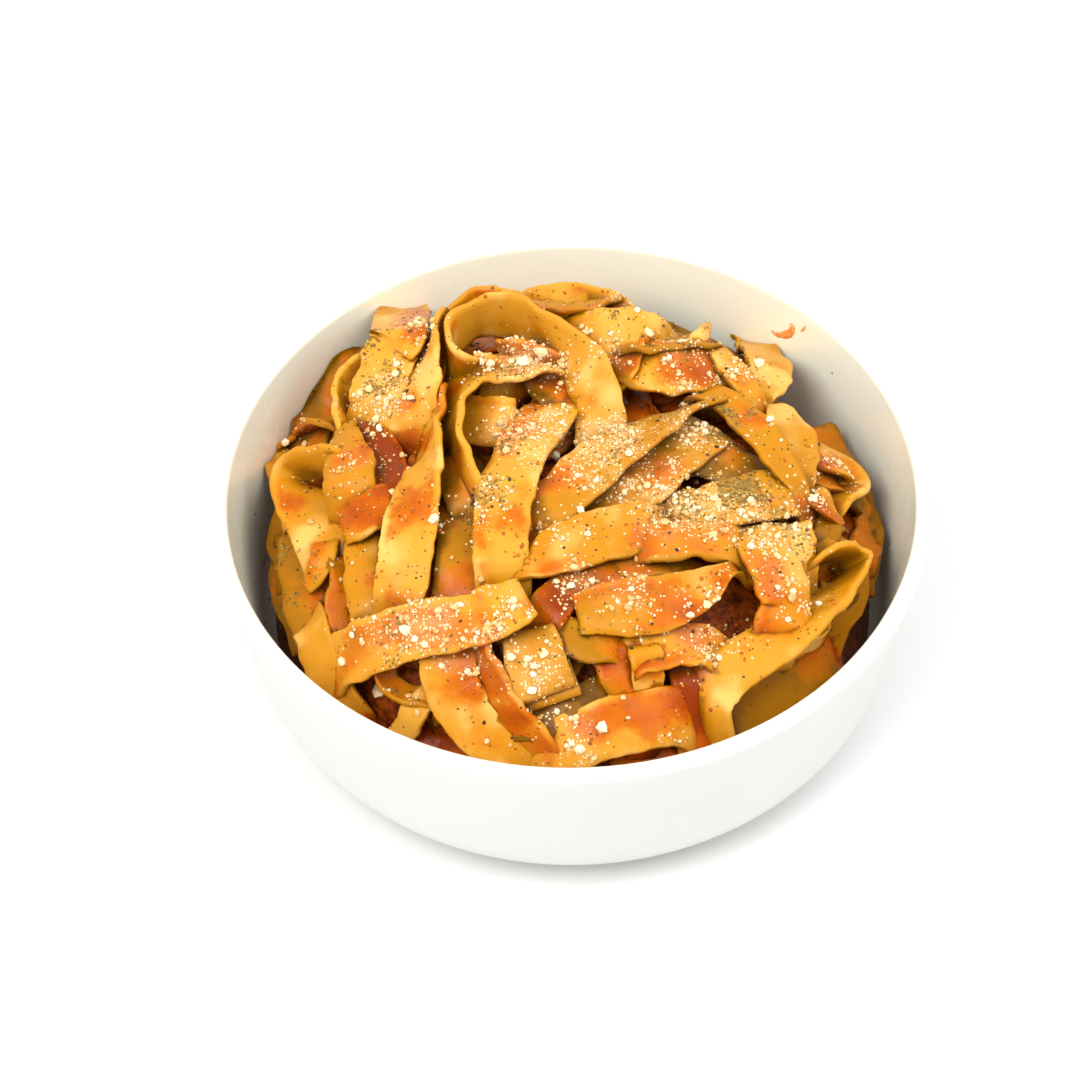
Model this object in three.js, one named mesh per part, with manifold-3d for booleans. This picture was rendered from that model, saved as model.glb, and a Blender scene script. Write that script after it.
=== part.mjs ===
// A low stoneware bowl filled with fettuccine in tomato sauce, with grated cheese on top.
// Two pieces: the bowl, and the heap of pasta that lies in it. Millimetres, +Z up.
// The origin is the centre of the bowl's foot, on the table. -Y is the side that faces the diner.
import * as THREE from "three";
import { mergeVertices } from "three/addons/utils/BufferGeometryUtils.js";
import Module from "manifold-3d";

const wasm = await Module();
wasm.setup();

// ---------------------------------------------------------------- driving dimensions
const BOWL = {
  rimRadius: 75, // outside of the lip
  height: 50,
  wall: 3.5, // thickness of the wall and the lip
  floor: 4.5, // thickness of the bottom
  wallLean: THREE.MathUtils.degToRad(7.6), // how far the wall opens outwards
  cornerRadius: 20, // outside round between the wall and the foot
  footWidth: 4.5, // the ring that the bowl stands on
  footDepth: 1.5, // how far the underside is hollowed inside that ring
  segments: 64,
};
const PASTA = {
  thickness: 1.8, // a cooked strand with its coat of sauce
  gap: 0.4, // kept between the pasta and the bowl
  step: 4.2, // length of one facet along a strand
};
// The bed that the strands lie on is a dome with a flat top. At the back left it has a shoulder, where
// the pasta is pushed up against the wall.
const BED = { centreY: 2, radius: 64.5, edgeZ: 28, rise: 24, power: 5, segments: 48 };
const SHOULDER = { x: -46, y: 44, height: 10, spread: 16 };
const SLOPE_SHARE = 0.5; // how far the strands follow the slope of the bed
const CORE_DROP = 0.5; // the solid core stays this far below the bed
const SMALLEST_DETAIL = 0.06; // facets that stand out less than this are merged
// Strands are placed as they are seen from the diner's eye, by the point where the line of sight
// crosses the plane of the rim.
const EYE = new THREE.Vector3(0, -343.6, 440.3);

// ---------------------------------------------------------------- strands
// name: [width, ...stations]. A station is [x, y, lift, lean] or [x, y, lift, lean, share of the width]:
// x and y as seen in the plane of the rim, the lift of the middle of the strand above the bed, and the
// angle by which its right-hand edge is raised, looking along the strand.
const STRANDS = {
  // back left
  wall_slab: [12.5, [-46,37,1,15], [-50.5,33,1,20], [-54,27,1,20], [-55,19,1,15], [-55,11,0,5]],
  left_arch: [8, [-42.5,34,4,75], [-46,31.5,5,78], [-48,27,5,80], [-48,21,4,74], [-46.5,15,3,60]],
  pepper_flag: [12.5, [-36.8,52,9,0], [-37,45,9,0], [-38.5,38,8,0], [-40,31,7,0], [-41.2,25,6,0],
    [-42,19.5,4,0]],
  flag_twist: [10.5, [-22,52,7,-85], [-26.3,48,9,-85], [-29,43,9,-80], [-30.6,37,9,-62], [-31.6,30,8,-38],
    [-32.2,24,7,-20], [-33,18.5,5,0]],
  left_sliver: [6, [-61,11,3,50], [-57,14.5,3,50], [-52,18,2,50]],
  left_tip: [9, [-64,10.5,4,15,0.3], [-61.5,7.8,4,15,0.8], [-59,3.5,4,25], [-57,-2,3,40]],
  back_peek: [9, [-32.5,46,4,-20], [-28,48,5,-25], [-23,49.5,5,-30]],
  back_arch: [8, [-25,46,4,-85], [-20,51,5,-85], [-14,52,5,-85], [-9,49,4,-85]],
  loop: [11.5, [-17.5,29,5,55], [-21.5,30,6,75], [-24.7,33,8,88], [-26,37.5,8,90], [-25,43,9,90],
    [-21,47.3,9,90], [-16,49.3,9,90], [-11,48.3,9,92], [-6,44,9,98], [-1.5,39,9,110], [2.5,33.5,8,128],
    [5,27.5,7,145], [6,21,5,155], [6.5,14.5,3,160]],
  inner_strip: [8, [-15,36.5,4,-70], [-12,36.5,5,-70], [-7,34.5,5,-60], [-2,31,4,-50]],
  inner_arc: [11.5, [-4,33,4,-25], [-10,33,6,-22], [-16.5,32,7,-18], [-22,28.5,8,-28], [-24.6,21.5,8,-60],
    [-24.3,14,8,-72], [-23.4,7,7,-72], [-22.3,0,6,-66], [-20,-6,4,-60]],
  inner_tongue: [11, [-25,17.5,4,-25], [-20,17.5,6,-25], [-15.5,17,7,-25], [-11.5,16.5,6,-30]],
  loop_floor: [10, [-7,34,1,0], [-4,27,1,0], [-1,19,1,0]],
  // back
  back_crest: [9.5, [-9,50.5,5,-45], [-4,51.5,6,-50], [2,52,6,-55], [7,50.5,5,-60], [10.5,47.5,4,-50]],
  back_band: [7.5, [-9,52.5,8,25], [-3,50.5,9,25], [3,50.5,9,25], [9,52.5,7,20]],
  pepper_panel: [11.5, [0,42,7,-20], [5.5,42.5,9,-25], [11,43,9,-25], [16,42.5,8,-30], [19.5,39.5,5,-30]],
  panel_drop: [8, [12.5,43,7,0,0.8], [12.5,38,7,0], [11,32.5,6,0], [8.5,27.5,3,0]],
  upper_right_face: [11, [10,33,4,-10], [18,31.5,6,-15], [26,31,6,-20], [34,32,4,-15]],
  upper_right_band: [7.5, [12,37,6,35], [18,38.3,8,35], [24,39,8,30], [30,39,6,20]],
  spike: [5, [27.5,38,6,-30,0.9], [29,41.5,8,-50,0.8], [30.5,45,8,-50,0.4]],
  back_right_flag: [11.5, [38,43.5,5,0,0.5], [40.8,39,6,0,0.85], [43,33.5,6,0], [42.7,28,4,0,0.8],
    [40.5,22,2,0,0.5]],
  right_fall: [6.5, [31.5,37,6,0,0.7], [34,33,7,0,0.9], [37,28,7,0], [39,22,5,0]],
  // right
  right_ruffle: [10.5, [43,20.5,3,0,0.5], [45.5,15,4,5], [47,9,4,5], [47.5,3,4,5,0.8], [48,-3,3,0,0.5]],
  right_ridge: [7.5, [29.5,24.5,5,0,0.8], [34,20.5,7,0], [38,15.5,8,0], [41.5,10,9,0], [44,4,8,0],
    [46.5,-2.5,6,0,0.7]],
  right_roll: [9.5, [48,7,1,15], [53.5,5,4,10], [57,2,4,-5], [57.5,-2,3,-30], [54,-5,1,-35]],
  right_tip: [6, [50,-5,4,0], [52.8,-9,4,0,0.9], [55.2,-13,3,0,0.3]],
  wall_right: [8, [57,-4,1,0], [59.5,-9,1,0], [60.3,-15,1,-5], [58.5,-21,1,-5]],
  right_stub: [6, [53.5,-12,2,0], [52,-15,3,0], [50.5,-19,2,0]],
  // left
  left_panel: [12, [-47.5,17,5,0,0.3], [-47.3,12.5,6,0,0.6], [-46.3,6,7,0,0.9], [-45.8,-1,7,0,0.95]],
  left_curl: [11.5, [-48.5,4.5,3,85], [-52,5,4,88], [-55,4.5,5,85], [-57,1.5,5,62], [-56.3,-3,5,36],
    [-54,-8,4,14], [-51.5,-13.5,3,5], [-50,-19,1,0]],
  orange_flap: [10, [-36,-5,4,0], [-40,-7,5,5], [-43.5,-9.5,6,5], [-46.5,-12.5,5,5,0.8]],
  sauced_strip: [9, [-44,19,2,-10], [-41.5,12,2,-10], [-38.5,5,2,0], [-37,-3,3,0]],
  long_left: [11.5, [-28.5,21,5,-65], [-29.2,14,6,-65], [-30,7,7,-52], [-31.3,0,7,-28], [-32.5,-8,7,-10],
    [-33.2,-16,6,0], [-33.8,-24,5,0], [-34.5,-32,3,0]],
  left_low: [7.5, [-42.5,-13,2,0], [-42.3,-20,3,5], [-42.2,-27,3,5], [-40.5,-35,2,0]],
  left_thread: [5, [-47,-21,1,30], [-46.5,-27,2,40], [-46.8,-33,2,40], [-45,-39,1,30]],
  left_point: [6, [-50,-17,3,15], [-50.8,-22.5,4,20,0.9], [-53.2,-28,3,25,0.45]],
  wall_left_low: [10, [-55,-14,0,10], [-54.5,-23,0,12], [-53,-32,1,12], [-50,-41,0,10]],
  shaded_middle: [10.5, [-22.8,-3,2,0], [-22.3,-12,3,0], [-22.3,-21,3,0], [-23,-31,1,0]],
  shaded_curve: [5.5, [-26,6,4,-20], [-25,0,5,-20], [-22.5,-6.5,5,-20]],
  // middle
  centre_diagonal: [11.5, [-2,27,0,0], [-4,21,4,0], [-8,13.5,7,0], [-10.8,7,8,0], [-12.6,1,9,0],
    [-13.7,-5,9,0], [-14.2,-13,8,0], [-14.2,-19,7,0], [-14,-24.5,5,0]],
  cheese_diagonal: [12, [28.5,21,4,-45], [20,16.5,6,-38], [12,10.5,8,-14], [5,4,8,-2], [-1,-3,7,0],
    [-7,-10.5,5,0]],
  middle_panel: [11.5, [29,13.5,4,0], [21.5,6,5,0], [14,-2,5,0], [8,-9,3,0]],
  olive_panel: [10, [27,5.5,2,0], [33,4,3,0], [40,0,2,0]],
  herb_panel: [12, [21,-11,3,0], [28,-8.3,5,0], [36,-5.5,6,-5], [45,-3.5,6,0]],
  tongue: [12, [-12.5,-25.3,4,0,0.25], [-8,-22.5,6,-5,0.55], [-2,-18.5,7,-10,0.9], [4,-15.8,7,-15],
    [11,-13.5,6,-15], [18,-12.5,4,-10]],
  lower_right_face: [9.5, [14,-17.5,4,0], [20,-16.5,6,0], [27,-16,6,0], [34,-18.5,5,0]],
  shaded_slip: [7, [8,-23.5,3,0], [14,-22.5,3,0], [21,-23,2,0]],
  front_bow: [12.5, [1,-35.5,5,-25,0.7], [5.5,-33.3,7,-33,0.9], [12,-32.5,8,-35], [18,-31.5,8,-28],
    [25,-28.3,7,-10,0.75], [32,-23.5,6,0,0.25]],
  brown_middle: [9, [9,-23,3,0], [3,-26,4,0], [-2,-30,4,0], [-5.5,-36,3,0]],
  // front left
  front_long: [11.5, [-46.5,-47.5,5,-5], [-41.5,-43.5,8,-12], [-35.5,-40.5,9,-15], [-29,-38.3,9,-12],
    [-22,-37.3,9,-5], [-15.5,-34.5,9,0], [-8.8,-31,8,0,0.85]],
  front_corner: [9, [-51.5,-37,4,0], [-50,-43,7,0], [-48,-48.5,7,0], [-45,-54.5,4,0]],
  corner_arc: [5, [-37,-47,1,30], [-36,-51.5,2,30], [-32.5,-54.5,2,30], [-27,-55.5,1,30]],
  corner_slip: [6, [-33,-64,2,0], [-31,-60,3,0], [-28.5,-55.5,2,0]],
  front_arch: [11.5, [-24.5,-42,4,0], [-24.2,-48,6,0], [-23,-54,6,0], [-20,-59.5,6,0], [-15.5,-64.5,5,0],
    [-10,-69.5,3,0]],
  front_fold: [8.5, [-18.5,-40,5,-62], [-17.5,-47,6,-62], [-14.5,-55,6,-58], [-10.5,-61,5,-50],
    [-6,-68,3,-45]],
  cheese_square: [12, [-8.7,-39,4,0,0.9], [-7.8,-44,6,0], [-6.5,-49.5,7,0], [-4.8,-55,6,0]],
  under_square: [12, [-8.5,-42,2,0], [-6,-50,4,0], [-4,-57.2,4,0]],
  olive_under: [9, [-12,-61,1,0], [-5,-60.5,2,0], [2,-58,2,0], [7,-55,1,0]],
  // front right
  golden_gap: [8, [-3,-40,3,0], [3,-42.5,4,0], [9,-43.5,3,0]],
  sauce_panel: [8.5, [6.5,-42,2,0], [8.5,-48.5,3,0], [11,-56,2,0]],
  arch_panel: [9, [11,-46.5,4,0], [15.5,-44.5,5,0], [21,-43.3,5,0], [27,-44.5,4,0]],
  arch_leg: [6.5, [14,-44,5,0], [14.5,-48,5,0], [14.5,-52.5,3,0]],
  front_face: [12, [-6,-69,3,0], [0,-66,5,0], [7,-63,6,0], [14,-61,6,0], [21,-60.5,4,0]],
  sauce_leg: [7, [22,-51,2,0], [22.5,-57,3,0], [23,-65,2,0]],
  long_right: [11, [27,-69,3,55], [26,-61.5,5,58], [26.6,-55,6,38], [30.5,-49.7,7,15], [36,-45.2,8,25],
    [41.5,-41.2,8,40], [46,-37,8,52], [50,-32.5,7,62], [54,-28,7,76], [56.5,-24.5,7,88], [55,-21.5,6,90],
    [51,-21,5,90]],
  loop_shoulder: [7.5, [51,-18,3,0], [55,-20,4,0], [56.7,-25,4,0], [56,-31,3,-5], [52.5,-37,2,-5]],
  right_block: [9, [44.5,-12.5,5,0], [45.7,-18,6,0], [46.8,-23,5,0,0.7], [47.3,-28,3,0,0.4]],
  pink_vertical: [11.5, [37.5,-14,5,0], [39.5,-20,7,0], [41.8,-27,8,0], [42.6,-34,8,0], [40.5,-40.5,7,0,0.9]],
  right_edge: [5.5, [50,-33,3,65], [50,-39,4,68], [47,-43.2,4,55], [41,-46,3,45]],
  wall_front_right: [10.5, [27,-63.5,1,-5], [34.5,-58,2,-5], [42,-52.5,3,-5], [49,-47,2,0]],
};

// The largest grains of grated cheese: [x, y, size], x and y as seen in the plane of the rim.
const GRAINS = [
  [-10,34,3.5], [-6,37,3.2], [-17,34,2.2], [17.5,42.5,2.6], [-60,11.5,2.2], [41,33,2.2], [30,30,1.8],
  [-3,7,2.2], [2,-8,2], [26,-1,2], [50,-6,2], [-28,-10,2.6], [-33,-39,2.6], [-29,-42.5,2], [-45,-46.5,2.2],
  [-37.5,-54,3], [-19,-43,2.2], [-12,-46,2.4], [-8,-54,2.2], [5.5,-63,2.8], [1,-68,2.4], [-16.5,-66,1.8],
];

// ---------------------------------------------------------------- bowl
// A skin of the bowl is a flat bottom, a round corner and a straight wall that leans out. It is given by
// how far its wall lies inside the bowl's outside, the height of its bottom and the corner's radius.
function skin(inset, bottom, radius) {
  const { rimRadius, height, wallLean } = BOWL;
  const wallAt = (z) => rimRadius - (height - z) * Math.tan(wallLean) - inset / Math.cos(wallLean);
  const centre = new THREE.Vector2(wallAt(bottom + radius) - radius / Math.cos(wallLean), bottom + radius);
  return { wallAt, bottom, radius, centre, tangentZ: centre.y - radius * Math.sin(wallLean) };
}

function radiusOf({ wallAt, radius, centre, tangentZ }, z) {
  if (z >= tangentZ) return wallAt(z);
  return centre.x + Math.sqrt(Math.max(0, radius ** 2 - (centre.y - z) ** 2));
}

// Points (radius, height) round a skin's corner, from the bottom up to where the straight wall starts.
function cornerPoints({ radius, centre }, count) {
  return Array.from({ length: count }, (_, i) => {
    const a = -Math.PI / 2 + (Math.PI / 2 - BOWL.wallLean) * (i / (count - 1));
    return new THREE.Vector2(centre.x + radius * Math.cos(a), centre.y + radius * Math.sin(a));
  });
}

const OUTSIDE = skin(0, 0, BOWL.cornerRadius);
const INSIDE = skin(BOWL.wall, BOWL.floor, BOWL.cornerRadius - BOWL.wall);
const PASTA_LIMIT = skin(
  BOWL.wall + PASTA.gap, BOWL.floor + PASTA.gap, BOWL.cornerRadius - BOWL.wall - PASTA.gap);

function bowlGeometry() {
  const { height, wall, floor, footWidth, footDepth } = BOWL;
  const lip = wall / 2;
  const lipZ = height - lip;
  const lipX = (OUTSIDE.wallAt(lipZ) + INSIDE.wallAt(lipZ)) / 2;
  const lipArc = Array.from({ length: 5 }, (_, i) => {
    const a = (i / 4) * Math.PI;
    return new THREE.Vector2(lipX + lip * Math.cos(a), lipZ + lip * Math.sin(a));
  });
  const foot = OUTSIDE.centre.x;
  return lathe([
    new THREE.Vector2(0, footDepth),
    new THREE.Vector2(foot - footWidth - footDepth, footDepth),
    new THREE.Vector2(foot - footWidth, 0),
    ...cornerPoints(OUTSIDE, 7),
    ...lipArc,
    ...cornerPoints(INSIDE, 6).reverse(),
    new THREE.Vector2(0, floor),
  ], BOWL.segments);
}

// A profile of (radius, height) points turned round the Z axis.
function lathe(profile, segments) {
  return new THREE.LatheGeometry(profile, segments).rotateX(Math.PI / 2);
}

// ---------------------------------------------------------------- pasta
// Height of the bed under a place in the bowl.
function bedZ(x, y) {
  const r = Math.min(1, Math.hypot(x, y - BED.centreY) / BED.radius);
  const aside = Math.hypot(x - SHOULDER.x, y - SHOULDER.y) / SHOULDER.spread;
  return BED.edgeZ + BED.rise * (1 - r ** BED.power) + SHOULDER.height * Math.exp(-(aside ** 2));
}

// The direction that a strand's face has at a place when it isn't leaned over.
function restNormal(x, y) {
  const d = 0.5;
  return new THREE.Vector3(
    (SLOPE_SHARE * (bedZ(x - d, y) - bedZ(x + d, y))) / (2 * d),
    (SLOPE_SHARE * (bedZ(x, y - d) - bedZ(x, y + d))) / (2 * d),
    1,
  ).normalize();
}

// The point at a lift above the bed that the eye sees at (x, y) in the plane of the rim.
function seat(x, y, lift) {
  const highest = BOWL.height + 30;
  const stepZ = 0.1;
  for (let z = highest; z > 0; z -= stepZ) {
    const share = (EYE.z - z) / (EYE.z - BOWL.height);
    const px = EYE.x + (x - EYE.x) * share;
    const py = EYE.y + (y - EYE.y) * share;
    if (z <= bedZ(px, py) + lift) return new THREE.Vector3(px, py, z);
  }
  throw new Error(`nothing is seen at ${x}, ${y}`);
}

// Moves a point of the pasta in from the wall and up from the floor, where it would touch the bowl.
function insideBowl(p) {
  p.z = Math.max(p.z, PASTA_LIMIT.bottom);
  const most = radiusOf(PASTA_LIMIT, Math.min(p.z, BOWL.height - BOWL.wall));
  const r = Math.hypot(p.x, p.y);
  if (r > most) {
    p.x *= most / r;
    p.y *= most / r;
  }
  return p;
}

// Value of a list of numbers at a place along it, smooth through each of them.
function along(values, u) {
  const curve = new THREE.CatmullRomCurve3(
    values.map((v) => new THREE.Vector3(v, 0, 0)), false, "catmullrom", 0.5);
  return curve.getPoint(u).x;
}

// One strand as a flat band with square edges, closed at both ends.
function strandGeometry([width, ...stations]) {
  const route = new THREE.CatmullRomCurve3(
    stations.map(([x, y, lift]) => seat(x, y, lift)), false, "catmullrom", 0.5);
  const leans = stations.map((s) => THREE.MathUtils.degToRad(s[3]));
  const shares = stations.map((s) => s[4] ?? 1);
  const steps = Math.max(4, Math.round(route.getLength() / PASTA.step));
  const positions = [];
  const index = [];
  for (let i = 0; i <= steps; i++) {
    const u = i / steps;
    const middle = route.getPoint(u);
    const ahead = route.getTangent(u);
    const side = new THREE.Vector3().crossVectors(ahead, restNormal(middle.x, middle.y)).normalize();
    const up = new THREE.Vector3().crossVectors(side, ahead);
    const lean = along(leans, u);
    const across = side.clone().multiplyScalar(Math.cos(lean)).addScaledVector(up, Math.sin(lean));
    const face = up.clone().multiplyScalar(Math.cos(lean)).addScaledVector(side, -Math.sin(lean));
    const halfWidth = (width * along(shares, u)) / 2;
    for (const [a, f] of [[1, 1], [-1, 1], [-1, -1], [1, -1]]) {
      const corner = middle.clone()
        .addScaledVector(across, a * halfWidth)
        .addScaledVector(face, (f * PASTA.thickness) / 2);
      positions.push(...insideBowl(corner));
    }
    if (i === steps) continue;
    for (let k = 0; k < 4; k++) {
      const a = 4 * i + k;
      const b = 4 * i + ((k + 1) % 4);
      index.push(a, a + 4, b, b, a + 4, b + 4);
    }
  }
  const last = 4 * steps;
  index.push(0, 1, 2, 0, 2, 3, last, last + 2, last + 1, last, last + 3, last + 2);
  return new THREE.BufferGeometry()
    .setAttribute("position", new THREE.Float32BufferAttribute(positions, 3))
    .setIndex(index);
}

// The solid middle of the heap: the bowl's inside up to just under the bed.
function coreGeometry() {
  const rings = 7;
  const top = Array.from({ length: rings + 1 }, (_, i) =>
    new THREE.Vector2(BED.radius * (1 - i / rings) ** 0.6, BED.edgeZ));
  const bottom = new THREE.Vector2(0, PASTA_LIMIT.bottom);
  const geometry = lathe([bottom, ...cornerPoints(PASTA_LIMIT, 6), ...top], BED.segments);
  const position = geometry.getAttribute("position");
  const point = new THREE.Vector3();
  for (let i = 0; i < position.count; i++) {
    point.fromBufferAttribute(position, i);
    if (point.z < BED.edgeZ - 0.01) continue;
    point.y += BED.centreY;
    point.z = bedZ(point.x, point.y) - CORE_DROP;
    insideBowl(point);
    position.setXYZ(i, point.x, point.y, point.z);
  }
  return geometry;
}

// ---------------------------------------------------------------- solids and scene graph
function solidOf(geometry) {
  const bare = geometry.clone();
  bare.deleteAttribute("normal");
  bare.deleteAttribute("uv");
  const merged = mergeVertices(bare, 1e-4);
  const solid = new wasm.Manifold(new wasm.Mesh({
    numProp: 3,
    vertProperties: new Float32Array(merged.getAttribute("position").array),
    triVerts: new Uint32Array(merged.index.array),
  }));
  if (solid.volume() < 0) throw new Error("a solid is inside out");
  return solid;
}

function geometryOf(solid) {
  const mesh = solid.getMesh();
  return new THREE.BufferGeometry()
    .setAttribute("position", new THREE.BufferAttribute(new Float32Array(mesh.vertProperties), 3))
    .setIndex(new THREE.BufferAttribute(new Uint32Array(mesh.triVerts), 1));
}

// A grain with flat facets, sunk a little into the pasta at the place where the eye sees it.
function grainGeometry([x, y, size], heap) {
  const towards = new THREE.Vector3(x, y, BOWL.height).sub(EYE).normalize();
  const seen = new THREE.Raycaster(EYE, towards).intersectObject(heap)[0].point;
  return new THREE.IcosahedronGeometry(size / 2, 0)
    .scale(1, 0.85, 0.8)
    .rotateZ(x)
    .rotateX(y)
    .translate(seen.x, seen.y, seen.z + 0.15 * size);
}

function largestPiece(solid) {
  return solid.decompose().sort((a, b) => b.volume() - a.volume())[0];
}

// Fuses the strands to the core. Sealed hollows are filled and loose scraps dropped, because only the
// outermost of the pieces that the union leaves is kept.
function heapGeometry() {
  let heap = solidOf(coreGeometry());
  for (const strand of Object.values(STRANDS)) heap = heap.add(solidOf(strandGeometry(strand)));
  const bare = new THREE.Mesh(geometryOf(heap));
  for (const grain of GRAINS) heap = heap.add(solidOf(grainGeometry(grain, bare)));
  return geometryOf(largestPiece(largestPiece(heap).simplify(SMALLEST_DETAIL)));
}

function piece(name, geometry, material) {
  const mesh = new THREE.Mesh(geometry, material);
  mesh.name = name;
  return mesh;
}

const glaze = new THREE.MeshStandardMaterial({ color: 0xeeeee8, roughness: 0.25, metalness: 0 });
const pasta = new THREE.MeshStandardMaterial({ color: 0xe8a23c, roughness: 0.4, metalness: 0 });

const bowlOfFettuccine = new THREE.Group();
bowlOfFettuccine.add(piece("bowl", bowlGeometry(), glaze));
bowlOfFettuccine.add(piece("fettuccine_heap", heapGeometry(), pasta));

export default bowlOfFettuccine;
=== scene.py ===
"""A low stoneware bowl heaped with fettuccine in tomato sauce, with grated cheese, pepper and herbs.

Lengths are worked out in millimetres, in the frame of the CAD model, and turned into metres when a mesh
is made. +Z is up, and -Y is the side that faces the diner.
"""
import math
import random

import bpy
from mathutils import Matrix, Vector, noise
from mathutils.bvhtree import BVHTree


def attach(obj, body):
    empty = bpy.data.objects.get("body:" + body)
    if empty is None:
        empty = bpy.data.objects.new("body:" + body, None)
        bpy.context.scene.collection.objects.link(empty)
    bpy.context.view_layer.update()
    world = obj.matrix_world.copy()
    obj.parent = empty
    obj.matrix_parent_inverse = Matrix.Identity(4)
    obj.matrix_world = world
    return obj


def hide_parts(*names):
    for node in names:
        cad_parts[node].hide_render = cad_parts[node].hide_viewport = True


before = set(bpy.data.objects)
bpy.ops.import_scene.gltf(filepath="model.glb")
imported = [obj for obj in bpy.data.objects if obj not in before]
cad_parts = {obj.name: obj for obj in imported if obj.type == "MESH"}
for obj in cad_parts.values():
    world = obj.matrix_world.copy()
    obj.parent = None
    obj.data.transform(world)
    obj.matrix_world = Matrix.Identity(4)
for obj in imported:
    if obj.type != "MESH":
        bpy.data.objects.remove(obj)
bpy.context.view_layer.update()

MM = 0.001

# ---------------------------------------------------------------- dimensions, as in part.mjs
RIM_RADIUS, HEIGHT, WALL, FLOOR = 75.0, 50.0, 3.5, 4.5
WALL_LEAN = math.radians(7.6)
CORNER_RADIUS = 20.0
FOOT_WIDTH, FOOT_DEPTH = 4.5, 1.5
GAP = 0.4
BED = dict(centre_y=2, radius=64.5, edge_z=28, rise=24, power=5)
SHOULDER = dict(x=-46, y=44, height=10, spread=16)
SLOPE_SHARE = 0.5
EYE = Vector((0, -343.6, 440.3))

THICKNESS = 1.5
STEP = 1.3  # length of one facet along a strand

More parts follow.
